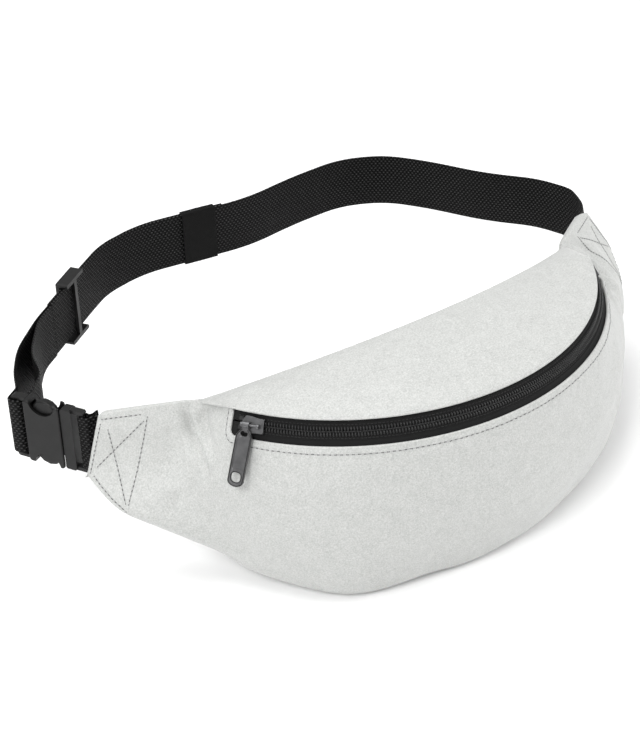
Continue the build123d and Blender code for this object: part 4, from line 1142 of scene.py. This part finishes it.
# the tail keeper: a flattened elastic band with a seam across it
_k = np.array(unit((ROUTE[9][0] - ROUTE[8][0], ROUTE[9][1] - ROUTE[8][1])))
_kn = np.array([-_k[1], _k[0]])
kc = np.array([KEEPER_AT[0], KEEPER_AT[1]])
verts, faces, uvs = [], [], []
ring = []
hw, hd, rr = (WEB_W + 1.9) / 2, 2.55, 1.3
for (cy, cz, a0) in ((hw - rr, hd - rr, 0), (-hw + rr, hd - rr, 90), (-hw + rr, -hd + rr, 180), (hw - rr, -hd + rr, 270)):
    for k in range(6):
        an = math.radians(a0 + 90 * k / 5)
        ring.append((cy + rr * math.cos(an), cz + rr * math.sin(an)))
dense = []
for (p0, p1) in zip(ring, ring[1:] + ring[:1]):
    L = math.dist(p0, p1)
    c = max(1, int(L / 2.0))
    for k in range(c):
        dense.append((p0[0] + (p1[0] - p0[0]) * k / c, p0[1] + (p1[1] - p0[1]) * k / c))
lens = np.concatenate([[0], np.cumsum([math.dist(a, b) for a, b in zip(dense, dense[1:])])])
nx = 40
m = len(dense)
for i in range(nx + 1):
    x = -11.9 + 23.8 * i / nx
    pinch = 1 - 0.012 * math.exp(-(x / 1.4) ** 2)
    for (y, z), L in zip(dense, lens):
        swell = 0.15 * math.cos(x / 11.9 * math.pi / 2)
        f = 1 + 0.02 * math.sin(x * 0.9 + y * 0.3)
        dz = z * pinch + (swell if z > 0 else -swell) * (0 if abs(z) < 0.8 else 1)
        if abs(x) < 1.2 and z < 0:
            dz -= 0.25 * math.cos(x / 1.2 * math.pi / 2)
        p = kc + _k[:2] * x + _kn * dz
        verts.append((p[0], p[1], KEEPER_AT[2] + y * f ** 0.1))
        uvs.append((x, L))
for i in range(nx):
    for k in range(m):
        k2 = (k + 1) % m
        faces.append((i * m + k, i * m + k2, (i + 1) * m + k2, (i + 1) * m + k))
keeper = make("keeper_elastic_band", verts, faces, M_ELASTIC, None, uvs=uvs)
mod = keeper.modifiers.new("thick", "SOLIDIFY")
mod.thickness = 0.0011
mod.offset = -1
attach(keeper, "keeper")
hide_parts("keeper_loop")

# ---------------------------------------------------------------- stitched boxes on the wings
FN_FLAT = F2.reshape(-1, 3)
FPX = project(FN_FLAT).reshape(F2.shape[0], F2.shape[1], 2)
vis = np.sum((CAM - F2) * F_N, -1) > 0


def surf_at(px, py, a_hi=-60):
    """(a, t) of the front panel's point seen at an image position, on the near wing."""
    ok_ = vis & (a_list[:, None] < a_hi)
    d = np.where(ok_, (FPX[..., 0] - px) ** 2 + (FPX[..., 1] - py) ** 2, 1e9)
    i, j = np.unravel_index(np.argmin(d), d.shape)
    i = int(np.clip(i, 1, F2.shape[0] - 2))
    j = int(np.clip(j, 1, F2.shape[1] - 2))
    ga = (FPX[i + 1, j] - FPX[i - 1, j]) / (a_list[i + 1] - a_list[i - 1])
    gt = (FPX[i, j + 1] - FPX[i, j - 1]) / (t_list[j + 1] - t_list[j - 1])
    try:
        da, dt = np.linalg.solve(np.stack([ga, gt], 1), np.array([px, py]) - FPX[i, j])
    except np.linalg.LinAlgError:
        da = dt = 0.0
    da, dt = float(np.clip(da, -1, 1)), float(np.clip(dt, -3, 3))
    return float(np.clip(a_list[i] + da, -89.6, 0)), float(np.clip(t_list[j] + dt, -2, 175))


BOX = [
    [(102, 419.5), (122, 417), (144, 414.2)],
    [(147.3, 417), (143.5, 440), (137, 472), (128.5, 505)],
    [(126, 512), (112, 499), (101, 486), (92.5, 474)],
    [(90.5, 473), (95.5, 448), (101, 421)],
    [(143.5, 421.4), (119, 445.5), (95.5, 469)],
    [(108, 430), (117, 465), (126, 506)],
]
for n_, line in enumerate(BOX):
    pts = np.array(line, float)
    s_b = np.concatenate([[0], np.cumsum(np.linalg.norm(np.diff(pts, axis=0), axis=1))])
    x_b = np.linspace(0, s_b[-1], 24)
    at = [surf_at(np.interp(x, s_b, pts[:, 0]), np.interp(x, s_b, pts[:, 1])) for x in x_b]
    for sg, tag in ((1, "left"), (-1, "right")):
        pn = [on_front(sg * a, t) for a, t in at]
        stitches(f"wing_box_{tag}_{n_}", [p for p, _ in pn], [v for _, v in pn], M_THREAD, pitch=2.9, length=2.0, radius=0.22)

# ---------------------------------------------------------------- CAD pieces that are shown as they are, with softened edges
def dress(node, mat, bevel, segs=3):
    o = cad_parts[node]
    o.data.materials.clear()
    o.data.materials.append(mat)
    w = o.modifiers.new("weld", "WELD")
    w.merge_threshold = 0.00002
    b = o.modifiers.new("edge", "BEVEL")
    b.width = bevel * 0.001
    b.segments = segs
    b.limit_method = "ANGLE"
    b.angle_limit = math.radians(32)
    for p in o.data.polygons:
        p.use_smooth = True
    n = o.modifiers.new("shade", "WEIGHTED_NORMAL")
    n.keep_sharp = True


for node, bev in (("buckle_female", 0.35), ("buckle_male_frame", 0.6), ("upper_release_prong", 0.9), ("lower_release_prong", 0.9), ("tri_glide", 0.55)):
    dress(node, M_PLASTIC, bev)
for node, bev in (("zip_slider_body", 0.3), ("zip_slider_bail", 0.2), ("zip_puller", 0.25), ("zip_bottom_stop", 0.3)):
    dress(node, M_METAL, bev)
dress("zip_top_stops", M_COIL, 0.3)
for node in ("top_seam_binding", "bottom_seam_binding"):
    dress(node, M_BIND, 0.25)

# the puller's raised dark rim, round the outline of its blade and round its window
PIV = np.array([-133.206, 21.948, 118.46])
PX0 = np.array([0.528438, -0.847729, 0.045911])
PZ = np.array([-0.759112, -0.4476, 0.472656])
PY0 = np.cross(PZ, PX0)
_t = math.radians(4.5)
PX = math.cos(_t) * PX0 - math.sin(_t) * PY0
PY = math.cos(_t) * PY0 + math.sin(_t) * PX0
M_RIM = plain("puller_rim_dark", 0.006, 0.016, 0.35, 700.0, 0.5)


def rim(name, pts, r, mat, closed=True):
    pts = list(pts)
    if closed:
        pts = pts + pts[:2]
    P = np.array([PIV + PX * x + PY * y + PZ * 0.80 for x, y in pts])
    s_r = np.concatenate([[0], np.cumsum(np.linalg.norm(np.diff(P, axis=0), axis=1))])
    x_r = np.linspace(0, s_r[-1], 160)
    P = np.stack([np.interp(x_r, s_r, P[:, k]) for k in range(3)], -1)
    return tube(name, P, r, mat, "puller", sides=8, up=PZ, flat=0.8)


_w = 4.9 - 0.42
out_ = [(-1.7, -2.6), (-_w, -6.8)] + [(-_w, y) for y in np.linspace(-8, -33.0, 20)]
_c, _R = -33.0, _w
out_ += [(-_w * math.cos(a), -33.0 - 2.7 * math.sin(a)) for a in np.linspace(0.15, math.pi - 0.15, 16)]
out_ += [(_w, y) for y in np.linspace(-33.0, -8, 20)] + [(_w, -6.8), (1.7, -2.6)]
rim("puller_rim_outer", out_, 0.42, M_RIM, closed=False)
win = [(3.45 * math.cos(a), -30.6 + 3.25 * math.sin(a)) for a in np.linspace(0, 2 * math.pi, 40)[:-1]]
win = [(3.3 * math.copysign(abs(math.cos(a)) ** 0.8, math.cos(a)), -30.6 + 3.1 * math.copysign(abs(math.sin(a)) ** 0.8, math.sin(a))) for a in np.linspace(0, 2 * math.pi, 48)[:-1]]
rim("puller_rim_window", win, 0.38, M_RIM)

# ---------------------------------------------------------------- floor, light and world
bm = bmesh.new()
bmesh.ops.create_grid(bm, x_segments=1, y_segments=1, size=6.0)
me = bpy.data.meshes.new("floor")
bm.to_mesh(me)
bm.free()
floor = bpy.data.objects.new("floor", me)
floor.location = (0, 0, -0.0002)
bpy.context.scene.collection.objects.link(floor)
fm = Mat("floor_white")
fm.set(Base_Color=(0.93, 0.93, 0.93, 1), Roughness=0.9, Specular_IOR_Level=0.05, Emission_Color=(1, 1, 1, 1), Emission_Strength=0.02)
floor.data.materials.append(fm.m)

world = bpy.data.worlds.new("studio")
bpy.context.scene.world = world
world.use_nodes = True
bg = next(n for n in world.node_tree.nodes if n.type == "BACKGROUND")
bg.inputs[0].default_value = (1, 1, 1, 1)
bg.inputs[1].default_value = 0.56


def area(name, loc, target, size, power):
    d = bpy.data.lights.new(name, "AREA")
    d.shape = "RECTANGLE"
    d.size, d.size_y = size
    d.energy = power
    o = bpy.data.objects.new(name, d)
    o.location = loc
    v = Vector(target) - Vector(loc)
    o.rotation_euler = v.to_track_quat("-Z", "Y").to_euler()
    bpy.context.scene.collection.objects.link(o)
    return o


area("key_right", (1.7, -0.9, 0.9), (0, 0.05, 0.08), (1.3, 1.0), 21)
area("key_left", (-1.35, -0.75, 1.5), (0, 0.05, 0.08), (0.8, 0.8), 27)
area("top_soft", (-0.3, 0.5, 1.8), (0, 0.08, 0.08), (1.4, 1.4), 20)

bpy.context.scene.view_settings.view_transform = "Standard"
bpy.context.scene.view_settings.look = "None"

# ---------------------------------------------------------------- done
bpy.context.view_layer.update()
